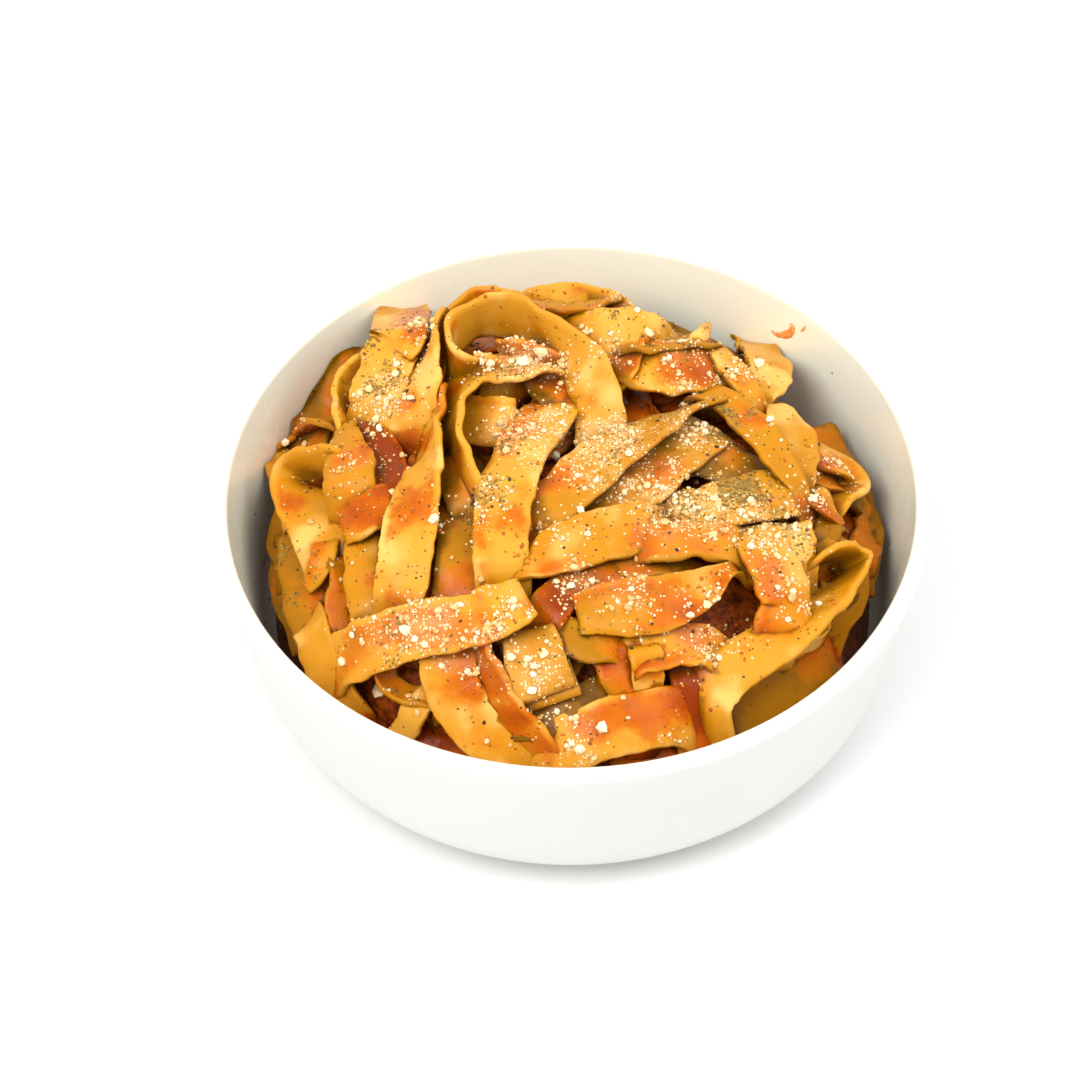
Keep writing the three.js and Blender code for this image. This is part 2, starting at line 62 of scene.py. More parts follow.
# The strands that show, a few of them a little moved from part.mjs. name: [width, ...stations]. A station is
# [x, y, lift, lean] or [x, y, lift, lean, share of the width]: x and y as seen in the plane of the rim, the
# lift of the strand above the bed, and the angle by which its right-hand edge is raised, looking along it.
STRANDS = {
    # back left
    "wall_slab": [12.5, [-46, 37, 1, 15], [-50.5, 33, 1, 20], [-54, 27, 1, 20], [-55, 19, 1, 15],
        [-55, 11, 0, 5]],
    "left_arch": [8, [-42.5, 34, 4, 75], [-46, 31.5, 5, 78], [-48, 27, 5, 80], [-48, 21, 4, 74],
        [-46.5, 15, 3, 60]],
    "pepper_flag": [12.5, [-36.8, 52, 9, 0], [-37, 45, 9, 0], [-38.5, 38, 8, 0], [-40, 31, 7, 0],
        [-41.2, 25, 6, 0], [-42, 19.5, 4, 0]],
    "flag_twist": [10.5, [-28.2, 44.5, 8, -85], [-29.6, 41, 9, -75], [-30.8, 36, 9, -58],
        [-31.6, 30, 8, -38], [-32.2, 24, 7, -20], [-33, 18.5, 5, 0]],
    "left_sliver": [6, [-61, 11, 3, 50], [-57, 14.5, 3, 50], [-52, 18, 2, 50]],
    "left_tip": [9, [-64, 10.5, 4, 15, 0.3], [-61.5, 7.8, 4, 15, 0.8], [-59, 3.5, 4, 25], [-57, -2, 3, 40]],
    "back_peek": [9, [-31, 50.5, 6, -10], [-27.5, 51, 7, -15], [-23, 51.5, 6, -20]],
    "back_arch": [8, [-24, 48.5, 6, -85], [-20.5, 52, 8, -85], [-16, 52.5, 8, -85], [-11.5, 50.5, 6, -85]],
    "loop": [11.5, [-17.5, 29, 5, 55], [-21.5, 30, 6, 75], [-24.7, 33, 8, 88], [-26, 37.5, 8, 90],
        [-25, 43, 9, 90], [-21, 47.3, 9, 90], [-16, 49.3, 9, 90], [-11, 48.3, 9, 92], [-6, 44, 9, 98],
        [-1.5, 39, 9, 110], [2.5, 33.5, 8, 128], [5, 27.5, 7, 145], [6, 21, 5, 155], [6.5, 14.5, 3, 160]],
    "inner_strip": [8, [-15, 36.5, 4, -70], [-12, 36.5, 5, -70], [-7, 34.5, 5, -60], [-2, 31, 4, -50]],
    "inner_arc": [11.5, [-4, 33, 4, -25], [-10, 33, 6, -22], [-16.5, 32, 7, -18], [-22, 28.5, 8, -28],
        [-24.6, 21.5, 8, -60], [-24.3, 14, 8, -72], [-23.4, 7, 7, -72], [-22.3, 0, 6, -66],
        [-20, -6, 4, -60]],
    "inner_tongue": [11, [-25, 17.5, 4, -25], [-20, 17.5, 6, -25], [-15.5, 17, 7, -25],
        [-11.5, 16.5, 6, -30]],
    "loop_floor": [10, [-6, 33, 1, 0], [-4.5, 27.5, 3, 0], [-1.5, 22, 3, 0]],
    # back
    "back_crest": [9.5, [-9, 50.5, 5, -45], [-4, 51.5, 6, -50], [2, 52, 6, -55], [7, 50.5, 5, -60],
        [10.5, 47.5, 4, -50]],
    "back_band": [7.5, [-9, 52.5, 8, 25], [-3, 50.5, 9, 25], [3, 50.5, 9, 25], [9, 52.5, 7, 20]],
    "pepper_panel": [11.5, [0, 42, 7, -20], [5.5, 42.5, 9, -25], [11, 43, 9, -25], [16, 42.5, 8, -30],
        [19.5, 39.5, 5, -30]],
    "panel_drop": [8, [12.5, 43, 7, 0, 0.8], [12.5, 38, 7, 0], [11, 32.5, 6, 0], [8.5, 27.5, 3, 0]],
    "upper_right_face": [11, [10, 33, 4, -10], [18, 31.5, 6, -15], [26, 31, 6, -20], [34, 32, 4, -15]],
    "upper_right_band": [7.5, [12, 37, 6, 35], [18, 38.3, 8, 35], [24, 39, 8, 30], [30, 39, 6, 20]],
    "spike": [5, [27.5, 38, 6, -30, 0.9], [29, 41.5, 8, -50, 0.8], [30.5, 45, 8, -50, 0.4]],
    "back_right_flag": [11.5, [38, 43.5, 5, 0, 0.5], [40.8, 39, 6, 0, 0.85], [43, 33.5, 6, 0],
        [42.7, 28, 4, 0, 0.8], [40.5, 22, 2, 0, 0.5]],
    "right_fall": [6.5, [31.5, 37, 6, 0, 0.7], [34, 33, 7, 0, 0.9], [37, 28, 7, 0], [39, 22, 5, 0]],
    # right
    "right_ruffle": [10.5, [43, 20.5, 3, 0, 0.5], [45.5, 15, 4, 5], [47, 9, 4, 5], [47.5, 3, 4, 5, 0.8],
        [48, -3, 3, 0, 0.5]],
    "right_ridge": [7.5, [29.5, 24.5, 5, 0, 0.8], [34, 20.5, 7, 0], [38, 15.5, 8, 0], [41.5, 10, 9, 0],
        [44, 4, 8, 0], [46.5, -2.5, 6, 0, 0.7]],
    "right_roll": [9.5, [48, 7, 1, 15], [53.5, 5, 4, 10], [57, 2, 4, -5], [57.5, -2, 3, -30],
        [54, -5, 1, -35]],
    "roll_middle": [8, [47, 2, 1, 0], [51.5, 0.5, 2, 0], [56, -2.5, 1, 0]],
    "right_tip": [6, [50, -5, 4, 0], [52.8, -9, 4, 0, 0.9], [55.2, -13, 3, 0, 0.3]],
    "wall_right": [8, [57, -4, 1, 0], [59.5, -9, 1, 0], [60.3, -15, 1, -5], [58.5, -21, 1, -5]],
    "right_stub": [6, [53.5, -12, 2, 0], [52, -15, 3, 0], [50.5, -19, 2, 0]],
    # left
    "left_panel": [12, [-47.5, 17, 5, 0, 0.3], [-47.3, 12.5, 6, 0, 0.6], [-46.3, 6, 7, 0, 0.9],
        [-45.8, -1, 7, 0, 0.95]],
    "left_curl": [11.5, [-48.5, 4.5, 3, 85], [-52, 5, 4, 88], [-55, 4.5, 5, 85], [-57, 1.5, 5, 62],
        [-56.3, -3, 5, 36], [-54, -8, 4, 14], [-51.5, -13.5, 3, 5], [-50, -19, 1, 0]],
    "orange_flap": [10, [-36, -5, 4, 0], [-40, -7, 5, 5], [-43.5, -9.5, 6, 5], [-46.5, -12.5, 5, 5, 0.8]],
    "sauced_strip": [9, [-44, 19, 2, -10], [-41.5, 12, 2, -10], [-38.5, 5, 2, 0], [-37, -3, 3, 0]],
    "long_left": [11.5, [-28.5, 21, 5, -65], [-29.2, 14, 6, -65], [-30, 7, 7, -52], [-31.3, 0, 7, -28],
        [-32.5, -8, 7, -10], [-33.2, -16, 6, 0], [-33.8, -24, 5, 0], [-34.5, -32, 3, 0]],
    "left_low": [7.5, [-42.5, -13, 2, 0], [-42.3, -20, 3, 5], [-42.2, -27, 3, 5], [-40.5, -35, 2, 0]],
    "left_thread": [5, [-47, -21, 1, 30], [-46.5, -27, 2, 40], [-46.8, -33, 2, 40], [-45, -39, 1, 30]],
    "left_point": [6, [-50, -17, 3, 15], [-50.8, -22.5, 4, 20, 0.9], [-53.2, -28, 3, 25, 0.45]],
    "wall_left_low": [10, [-55, -14, 0, 10], [-54.5, -23, 0, 12], [-53, -32, 1, 12], [-50, -41, 0, 10]],
    "shaded_middle": [10.5, [-22.8, -3, 2, 0], [-22.3, -12, 3, 0], [-22.3, -21, 3, 0], [-23, -31, 1, 0]],
    "shaded_curve": [5.5, [-26, 6, 4, -20], [-25, 0, 5, -20], [-22.5, -6.5, 5, -20]],
    # middle
    "centre_diagonal": [11.5, [-1.5, 24.5, 0, 0], [-4, 19.5, 4, 0], [-8, 13.5, 7, 0], [-10.8, 7, 8, 0],
        [-12.6, 1, 9, 0], [-13.7, -5, 9, 0], [-14.2, -13, 8, 0], [-14.2, -19, 7, 0], [-14, -24.5, 5, 0]],
    "cheese_diagonal": [12, [28.5, 21, 4, -45], [20, 16.5, 6, -38], [12, 10.5, 8, -14], [5, 4, 8, -2],
        [-1, -3, 7, 0], [-7, -10.5, 5, 0]],
    "middle_panel": [11.5, [29, 13.5, 4, 0], [21.5, 6, 5, 0], [14, -2, 5, 0], [8, -9, 3, 0]],
    "olive_panel": [10, [27, 5.5, 2, 0], [33, 4, 3, 0], [40, 0, 2, 0]],
    "herb_panel": [12, [21, -11, 3, 0], [28, -8.3, 5, 0], [36, -5.5, 6, -5], [45, -3.5, 6, 0]],
    "tongue": [12, [-12.5, -25.3, 4, 0, 0.25], [-8, -22.5, 6, -5, 0.55], [-2, -18.5, 7, -10, 0.9],
        [4, -15.8, 7, -15], [11, -13.5, 6, -15], [18, -12.5, 4, -10]],
    "lower_right_face": [9.5, [14, -17.5, 4, 0], [20, -16.5, 6, 0], [27, -16, 6, 0], [34, -18.5, 5, 0]],
    "shaded_slip": [7, [8, -23.5, 3, 0], [14, -22.5, 3, 0], [21, -23, 2, 0]],
    "front_bow": [11.5, [1, -35.5, 5, -25, 0.7], [5.5, -34, 7, -33, 0.9], [12, -33.5, 8, -35],
        [18, -32.5, 8, -28], [25, -29.5, 7, -10, 0.75], [32, -24.5, 6, 0, 0.25]],
    "brown_middle": [9, [9, -23, 3, 0], [3, -26, 4, 0], [-2, -30, 4, 0], [-5.5, -36, 3, 0]],
    # front left
    "front_long": [11.5, [-46.5, -47.5, 5, -5], [-41.5, -43.5, 8, -12], [-35.5, -40.5, 9, -15],
        [-29, -38.3, 9, -12], [-22, -37.3, 9, -5], [-15.5, -34.5, 9, 0], [-8.8, -31, 8, 0, 0.85]],
    "front_corner": [9, [-51.5, -37, 4, 0], [-50, -43, 7, 0], [-48, -48.5, 7, 0], [-45, -54.5, 4, 0]],
    "corner_arc": [5, [-37, -47, 1, 30], [-36, -51.5, 2, 30], [-32.5, -54.5, 2, 30], [-27, -55.5, 1, 30]],
    "corner_slip": [6, [-33, -64, 2, 0], [-31, -60, 3, 0], [-28.5, -55.5, 2, 0]],
    "front_arch": [11.5, [-24.5, -42, 4, 0], [-24.2, -48, 6, 0], [-23, -54, 6, 0], [-20, -59.5, 6, 0],
        [-15.5, -64.5, 5, 0], [-10, -69.5, 3, 0]],
    "front_fold": [8.5, [-18.5, -41, 5, -58], [-17, -48, 6, -52], [-14, -55.5, 6, -44],
        [-10.5, -61.5, 5, -38], [-6.5, -68, 3, -35]],
    "cheese_square": [12, [-8.7, -39, 4, 0, 0.9], [-7.8, -44, 6, 0], [-6.5, -49.5, 7, 0], [-4.8, -55, 6, 0]],
    "under_square": [12, [-8.5, -42, 2, 0], [-6, -50, 4, 0], [-4, -57.2, 4, 0]],
    "olive_under": [9, [-12, -61, 1, 0], [-5, -60.5, 2, 0], [2, -58, 2, 0], [7, -55, 1, 0]],
    # front right
    "golden_gap": [8, [-3, -40, 3, 0], [3, -42.5, 4, 0], [9, -43.5, 3, 0]],
    "sauce_panel": [8.5, [6.5, -42, 2, 0], [8.5, -48.5, 3, 0], [11, -56, 2, 0]],
    "arch_panel": [9, [11, -46.5, 4, 0], [15.5, -44.5, 5, 0], [21, -43.3, 5, 0], [27, -44.5, 4, 0]],
    "arch_leg": [6.5, [14, -44, 5, 0], [14.5, -48, 5, 0], [14.5, -52.5, 3, 0]],
    "front_face": [12, [-6, -69, 3, 0], [0, -66, 5, 0], [7, -63, 6, 0], [14, -61, 6, 0], [21, -60.5, 4, 0]],
    "sauce_leg": [7, [22, -51, 2, 0], [22.5, -57, 3, 0], [23, -65, 2, 0]],
    "long_right": [11, [27, -69, 3, 55], [26, -61.5, 5, 58], [26.6, -55, 6, 38], [30.5, -49.7, 7, 15],
        [36, -45.2, 8, 25], [41.5, -41.2, 8, 40], [46, -37, 8, 52], [50, -32.5, 7, 62], [54, -28, 7, 76],
        [56.5, -24.5, 7, 88], [55, -21.5, 6, 90], [51, -21, 5, 90]],
    "loop_shoulder": [7.5, [51, -18, 3, 0], [55, -20, 4, 0], [56.7, -25, 4, 0], [56, -31, 3, -5],
        [52.5, -37, 2, -5]],
    "right_block": [9, [44.5, -12.5, 5, 0], [45.7, -18, 6, 0], [46.8, -23, 5, 0, 0.7],
        [47.3, -28, 3, 0, 0.4]],
    "pink_vertical": [11.5, [37.5, -14, 5, 0], [39.5, -20, 7, 0], [41.8, -27, 8, 0], [42.6, -34, 8, 0],
        [40.5, -40.5, 7, 0, 0.9]],
    "right_edge": [5.5, [50, -33, 3, 65], [50, -39, 4, 68], [47, -43.2, 4, 55], [41, -46, 3, 45]],
    "wall_front_right": [10.5, [27, -63.5, 1, -5], [34.5, -58, 2, -5], [42, -52.5, 3, -5], [49, -47, 2, 0]],
}

# How a strand's hidden end goes on: it reaches this far past its last station, and down into the bed.
TUCK_REACH, TUCK_DEPTH = 6.5, 4.0
# The strands with a cut end that shows, where they start and where they end.
CUT_STARTS = {
    "inner_strip", "left_tip", "left_panel", "tongue", "front_bow", "cheese_square", "arch_panel",
    "right_block", "back_right_flag", "back_peek", "pepper_flag",
}
CUT_ENDS = {
    "inner_tongue", "orange_flap", "spike", "right_tip", "left_point", "front_long", "cheese_square",
    "under_square", "herb_panel",
}

# How much sauce a strand carries all over, where that isn't the usual amount.
COATED = {
    "wall_slab": 0.3, "sauced_strip": 0.75, "orange_flap": 0.5, "back_peek": 0.3, "back_arch": 0.35,
    "inner_strip": 0.45, "right_fall": 0.4, "right_roll": 0.35, "wall_right": 0.35, "brown_middle": 0.7,
    "lower_right_face": 0.3, "pink_vertical": 0.4, "sauce_panel": 0.6, "sauce_leg": 0.75, "arch_leg": 0.35,
    "arch_panel": 0.28, "front_face": 0.35, "front_fold": 0.4, "right_edge": 0.3, "left_thread": 0.4,
    "shaded_middle": 0.25, "middle_panel": 0.4, "loop_floor": 0.3, "upper_right_face": 0.35,
    "panel_drop": 0.4, "left_curl": 0.1, "tongue": 0.05, "back_crest": 0.1, "long_right": 0.05,
    "cheese_square": 0.08, "right_ruffle": 0.05, "right_ridge": 0.12, "left_panel": 0.18, "pepper_flag": 0.15,
    "loop": -0.12, "front_bow": 0.15, "inner_tongue": 0.02, "left_tip": 0.0, "left_point": 0.05,
    "roll_middle": 0.5,
}
# Strands that lie in the shade of others, given a darker tone as painted shade: 0 is pale, 1 is golden, 2 is
# olive brown.
PAINTED_SHADE_TONES = {
    "wall_slab": 1.2, "wall_left_low": 1.0, "shaded_middle": 0.95, "shaded_curve": 1.0, "olive_panel": 1.5,
    "olive_under": 1.7, "wall_front_right": 1.25, "wall_right": 1.4, "right_stub": 1.2, "left_low": 0.6,
    "loop_floor": 1.7, "shaded_slip": 1.0, "loop_shoulder": 0.8, "golden_gap": 1.0, "brown_middle": 1.3,
    "sauce_panel": 1.2, "corner_arc": 0.7, "left_thread": 1.2, "under_square": 0.8, "upper_right_band": 0.9,
    "roll_middle": 0.9, "inner_tongue": 0.0,
}

# Places with a thick film of sauce: (x, y, radius, strength), x and y as seen in the plane of the rim.
SAUCE_SPOTS = [
    (-35, 46, 5, 0.8), (-33, 23, 3, 0.7), (-43, 16, 4, 0.8), (-40, 11, 4, 0.9), (-38, 6, 4, 0.9),
    (-38, 0, 4, 0.8), (-33, 12, 3, 0.7), (-42, -7, 5, 0.6), (-45, -11, 4, 0.5), (-33, -3, 4, 0.6),
    (-31, -9, 5, 1.1), (-37, -14, 4, 0.7), (-40, -26, 3, 0.7), (-24, -27, 6, 0.7), (-21, -12, 4, 0.3),
    (-13, -11, 5, 0.6), (-9, -14, 4, 0.8), (-12, 14, 3, 0.5), (0, 3, 4, 0.6), (3, -2, 3, 0.5),
    (-7, -17, 5, 0.5), (14, -14, 4, 0.6), (18, 3, 5, 0.6), (13, 4, 3, 0.4), (22, -11, 4, 0.7),
    (32, -14, 4, 0.6), (21, -34, 5, 0.9), (24, -37, 4, 0.8), (14, -37, 3, 0.4), (2, -27, 6, 0.8),
    (-3, -32, 4, 0.7), (-8, 44, 5, 0.6), (-14, 38, 4, 0.5), (-26, 27, 2.5, 0.3), (-8, 33, 7, 0.5),
    (15, 47, 4, 0.4), (12, 35, 3, 0.5), (5, 57, 4, 0.4), (-18, 56, 4, 0.4), (24, 29, 6, 0.5),
    (31, 29, 4, 0.5), (36, 33, 3, 0.5), (37, 27, 3, 0.5), (40, 15, 3, 0.45), (46, 4, 2, 0.4), (53, 3, 4, 0.6),
    (58, 0, 3, 0.4), (46, -9, 5, 0.9), (51, -8, 3, 0.7), (40, -24, 4, 1.0), (42, -31, 3, 0.6),
    (37, -38, 3, 0.5), (32, -30, 5, 0.9), (33, -44, 4, 0.9), (25, -42, 3, 0.4), (21, -50, 4, 0.9),
    (24, -53, 4, 0.7), (12, -60, 6, 0.5), (4, -64, 5, 0.4), (20, -58, 3, 0.7), (-4, -68, 3, 0.5),
    (-32, -38, 6.5, 1.4), (-38, -46, 5, 0.6), (-43, -40, 3, 0.4), (-24, -34, 3, 0.4), (-19, -54, 4, 0.6),
    (-20, -65, 6, 0.6), (-14, -52, 4, 0.4), (-10, -60, 3, 0.4), (-16, -43, 4, 0.6), (9, -47, 5, 0.7),
    (-59, 18, 4, 0.5), (-53, 1, 3, 0.8), (-57.5, -4, 2.5, 0.5), (-50, 30, 5, 0.3), (47, -50, 4, 0.4),
    (51, -44, 4, 0.5), (56, -12, 4, 0.4),
]

# The largest grains of cheese, as in part.mjs: (x, y, size).
GRAINS = [
    (-10, 34, 3.5), (-6, 37, 3.2), (-17, 34, 2.2), (17.5, 42.5, 2.6), (-60, 11.5, 2.2), (41, 33, 2.2),
    (30, 30, 1.8), (-3, 7, 2.2), (2, -8, 2), (26, -1, 2), (50, -6, 2), (-28, -10, 2.6), (-33, -39, 2.6),
    (-29, -42.5, 2), (-45, -46.5, 2.2), (-37.5, -54, 3), (-19, -43, 2.2), (-12, -46, 2.4), (-8, -54, 2.2),
    (5.5, -63, 2.8), (1, -68, 2.4), (-16.5, -66, 1.8),
]

# An area with a wider spread than WIDE is the whole heap, which is sprinkled out to SPRINKLED.
WIDE, SPRINKLED = 30, 60

# Where the finer cheese lies: (x, y, spread, number of crumbs).
CHEESE = [
    (-10, 35, 6, 180), (-3, 33, 4, 70), (-17, 35, 3, 35), (-39, 27, 6, 130), (-32, 46, 5, 55),
    (-41, 20, 4, 50), (9, 13, 6, 205), (-2, 9, 7, 145), (-12, 14, 6, 120), (-17, -4, 5, 70), (8, 3, 7, 110),
    (23, 21, 5, 85), (27, 12, 6, 130), (22, -7, 8, 225), (35, -8, 7, 120), (12, 51, 4, 60), (9, 38, 5, 60),
    (24, 38, 5, 70), (36, 32, 6, 70), (39, -16, 4, 85), (45, -13, 4, 85), (41, -25, 5, 60), (46, -29, 4, 40),
    (50, -5, 4, 50), (54, 4, 4, 35), (-30, -38, 7, 155), (-20, -41, 4, 50), (-14, -45, 5, 85),
    (-6, -50, 6, 120), (-10, -32, 3, 35), (2, -26, 5, 70), (12, -31, 6, 85), (26, -42, 6, 85),
    (1, -67, 6, 50), (-2, -13, 6, 35), (20, -66, 4, 25), (-57, 15, 5, 25), (-46, 5, 8, 25), (-30, -9, 4, 15),
    (32, -40, 4, 35), (-40, -40, 6, 35), (42, 14, 6, 15), (0, 0, 40, 265),
]

# Where the dried herbs lie: (x, y, spread, number of flakes).
HERBS = [
    (32, 13, 5, 260), (35, -3, 5, 640), (24, -6, 6, 300), (-40, 28, 5, 180), (-13, 32, 4, 110),
    (-17, -3, 4, 130), (-15, 12, 5, 90), (-43, 40, 4, 70), (31, 41, 2, 30), (25, 39, 4, 40),
    (42, -10, 4, 130), (8, 8, 8, 110), (-37, -42, 6, 70), (46, -18, 4, 40), (12, 44, 5, 40),
    (-58, -18, 4, 50), (-55, -30, 5, 50), (0, 0, 42, 350),
]
PEPPER_COUNT = 620
PULP_COUNT = 8  # bits of tomato at a place with sauce of strength 1
CLUMP_SIZE, CLUMP_SPREAD = 8, 0.9  # what is scattered lies in clumps of so many, this closely

# The seed of each stream of chance. Each strand has a stream of its own, numbered on from the first seed.
SEEDS = dict(strands=11, bed=5, edge=6, shade=2, cheese=21, pulp=44, flakes=33, smears=8)


# ---------------------------------------------------------------- the bowl's skins and the bed
def skin(inset, bottom, radius):
    """A flat bottom, a round corner and a straight wall that leans out."""
    def wall_at(z):
        return RIM_RADIUS - (HEIGHT - z) * math.tan(WALL_LEAN) - inset / math.cos(WALL_LEAN)

    centre = (wall_at(bottom + radius) - radius / math.cos(WALL_LEAN), bottom + radius)
    return dict(wall_at=wall_at, bottom=bottom, radius=radius, centre=centre,
                tangent_z=centre[1] - radius * math.sin(WALL_LEAN))


def radius_of(s, z):
    if z >= s["tangent_z"]:
        return s["wall_at"](z)
    return s["centre"][0] + math.sqrt(max(0, s["radius"] ** 2 - (s["centre"][1] - z) ** 2))


OUTSIDE = skin(0, 0, CORNER_RADIUS)
INSIDE = skin(WALL, FLOOR, CORNER_RADIUS - WALL)
PASTA_LIMIT = skin(WALL + GAP, FLOOR + GAP, CORNER_RADIUS - WALL - GAP)


def corner_points(s, count):
    (cx, cz), r = s["centre"], s["radius"]
    angles = [-math.pi / 2 + (math.pi / 2 - WALL_LEAN) * i / (count - 1) for i in range(count)]
    return [(cx + r * math.cos(a), cz + r * math.sin(a)) for a in angles]


def inside_bowl(p):
    """Moves a point in from the wall and up from the floor, where it would touch the bowl."""
    z = max(p.z, PASTA_LIMIT["bottom"])
    most = radius_of(PASTA_LIMIT, min(z, HEIGHT - WALL))
    r = math.hypot(p.x, p.y)
    share = min(1, most / r) if r > 0 else 1
    return Vector((p.x * share, p.y * share, z))


def bed_z(x, y):
    r = min(1, math.hypot(x, y - BED["centre_y"]) / BED["radius"])
    aside = math.hypot(x - SHOULDER["x"], y - SHOULDER["y"]) / SHOULDER["spread"]
    return BED["edge_z"] + BED["rise"] * (1 - r ** BED["power"]) + SHOULDER["height"] * math.exp(-aside**2)


def rest_normal(x, y):
    d = 0.5
    return Vector((SLOPE_SHARE * (bed_z(x - d, y) - bed_z(x + d, y)) / (2 * d),
                   SLOPE_SHARE * (bed_z(x, y - d) - bed_z(x, y + d)) / (2 * d), 1)).normalized()


def on_sight_line(x, y, z):
    """The point at height z that the eye sees at (x, y) in the plane of the rim."""
    share = (EYE.z - z) / (EYE.z - HEIGHT)
    return Vector((EYE.x + (x - EYE.x) * share, EYE.y + (y - EYE.y) * share, z))


def as_seen(p):
    """Where the eye sees a point, in the plane of the rim."""
    share = (EYE.z - HEIGHT) / (EYE.z - p.z)
    return EYE.x + (p.x - EYE.x) * share, EYE.y + (p.y - EYE.y) * share


def seat(x, y, lift):
    z = HEIGHT + 30.0
    while z > 0:
        p = on_sight_line(x, y, z)
        if z <= bed_z(p.x, p.y) + lift:
            return p
        z -= 0.1
    raise ValueError(f"nothing is seen at {x}, {y}")


# ---------------------------------------------------------------- meshes
class Builder:
    """Collects faces in millimetres, with three values per vertex, and makes one object of them."""

    def __init__(self):
        self.points, self.faces, self.sauce, self.tone, self.dust = [], [], [], [], []

    def add(self, points, faces, sauce=0.0, tone=0.5, dust=0.0):
        """A value is one number for all the points, or a list with one for each."""
        base = len(self.points)
        self.points += points
        self.faces += [[base + i for i in f] for f in faces]
        for kept, values in ((self.sauce, sauce), (self.tone, tone), (self.dust, dust)):
            kept += values if isinstance(values, list) else [values] * len(points)

    def object(self, name, material, smooth=True):
        mesh = bpy.data.meshes.new(name)
        mesh.from_pydata([p * MM for p in self.points], [], self.faces)
        for key, values in (("sauce", self.sauce), ("tone", self.tone), ("dust", self.dust)):
            mesh.attributes.new(key, "FLOAT", "POINT").data.foreach_set("value", values)
        if smooth:
            mesh.shade_smooth()
        else:
            mesh.shade_flat()
        mesh.materials.append(material)
        mesh.update()
        obj = bpy.data.objects.new(name, mesh)
        bpy.context.scene.collection.objects.link(obj)
        return obj


def catmull(values, u):
    """Value at u in 0..1 on the smooth curve through a list of numbers or vectors."""
    n = len(values) - 1
    i = min(int(u * n), n - 1)
    t = u * n - i
    p1, p2 = values[i], values[i + 1]
    p0 = values[i - 1] if i > 0 else p1 * 2 - p2
    p3 = values[i + 2] if i + 2 <= n else p2 * 2 - p1
    return p1 + (p2 - p0) * (0.5 * t) + (p0 * 2 - p1 * 5 + p2 * 4 - p3) * (0.5 * t * t) + (
        p1 * 3 - p0 - p2 * 3 + p3) * (0.5 * t**3)


def grid(rows, ring, base=0, closed=True):
    """The four-sided faces between rows of points. Each row has as many points as ring says, and in a
    closed one the last point is next to the first."""
    return [[base + row * ring + k, base + row * ring + (k + 1) % ring,
             base + (row + 1) * ring + (k + 1) % ring, base + (row + 1) * ring + k]
            for row in range(rows - 1) for k in range(ring if closed else ring - 1)]


def fan(tip, base, ring, turned=False):
    """The three-sided faces from one point to each side of a ring of points."""
    faces = [[tip, base + k, base + (k + 1) % ring] for k in range(ring)]
    return [face[::-1] for face in faces] if turned else faces


# Half of a ribbon's section from one edge to the other: (across, up), as shares of the half sizes.
SECTION_TOP = [(-1, 0), (-0.985, 0.55), (-0.93, 0.95), (-0.7, 1), (-0.35, 1), (0, 1), (0.35, 1), (0.7, 1),
               (0.93, 0.95), (0.985, 0.55)]
SECTION = SECTION_TOP + [(-a, -h) for a, h in SECTION_TOP]


# How irregular strands are. A strand's hollow and the length of its waves are drawn from these ranges. Its
# lean sways by so many degrees, and its edges ruffle. They are also nibbled, in broad and in fine bites, each
# with a depth and a length.
HOLLOWS, WAVES = (-0.5, 0.7), (13, 24)
SWAY, RUFFLE = 5, 0.35
BROAD_DEPTH, BROAD_LENGTH = 0.45, 3.2
FINE_DEPTH, FINE_LENGTH = 0.2, 1.1


def ribbon(route, leans, shares, width, rng):
    """One strand: a soft band with cut ends, slightly cupped and wavy. Its points, its faces, and how far
    across it each point lies, from -1 to 1."""
    dense = [catmull(route, i / 120) for i in range(121)]
    total = sum((b - a).length for a, b in zip(dense, dense[1:]))
    count = max(6, round(total / STEP))
    phase, phase_2 = rng.uniform(0, 6.28), rng.uniform(0, 6.28)
    cup = rng.uniform(*HOLLOWS)
    wave = rng.uniform(*WAVES)
    points = []
    for i in range(count + 1):
        u = i / count
        s = u * total
        middle = catmull(route, u)
        ahead = (catmull(route, min(1, u + 0.01)) - catmull(route, max(0, u - 0.01))).normalized()
        side = ahead.cross(rest_normal(middle.x, middle.y)).normalized()
        up = side.cross(ahead)
        lean = math.radians(catmull(leans, u) + SWAY * math.sin(s / wave * 6.28 + phase))
        across = side * math.cos(lean) + up * math.sin(lean)
        face = up * math.cos(lean) - side * math.sin(lean)
        half = width * catmull(shares, u) / 2
        edge = [BROAD_DEPTH * noise.noise(Vector((s / BROAD_LENGTH, phase * 9 + side_seed, 0.5)))
                + FINE_DEPTH * noise.noise(Vector((s / FINE_LENGTH, phase * 9 + side_seed, 7.5)))
                for side_seed in (0, 40)]
        end = min(s, total - s)
        plump = min(1, 0.72 + end * 0.4)
        for a, h in SECTION:
            ruffle = RUFFLE * a**3 * math.sin(s / wave * 2 * 6.28 + phase_2 + a)
            bow = cup * (a * a - 0.4) + ruffle
            nibble = a * edge[0] if a < 0 else a * edge[1]
            p = middle + across * (a * half + nibble) + face * (h * THICKNESS / 2 * plump + bow)
            points.append(inside_bowl(p))
    ring = len(SECTION)
    faces = grid(count + 1, ring)
    # The flat faces' points are joined across each cut end, top to bottom.
    for base, turned in ((0, True), (count * ring, False)):
        half_ring = len(SECTION_TOP)
        for k in range(half_ring - 1):
            quad = [base + k, base + k + 1, base + (ring - k - 1) % ring, base + (ring - k) % ring]
            quad = list(dict.fromkeys(quad))
            faces.append(quad[::-1] if turned else quad)
    return points, faces, [a for a, _ in SECTION] * (count + 1)


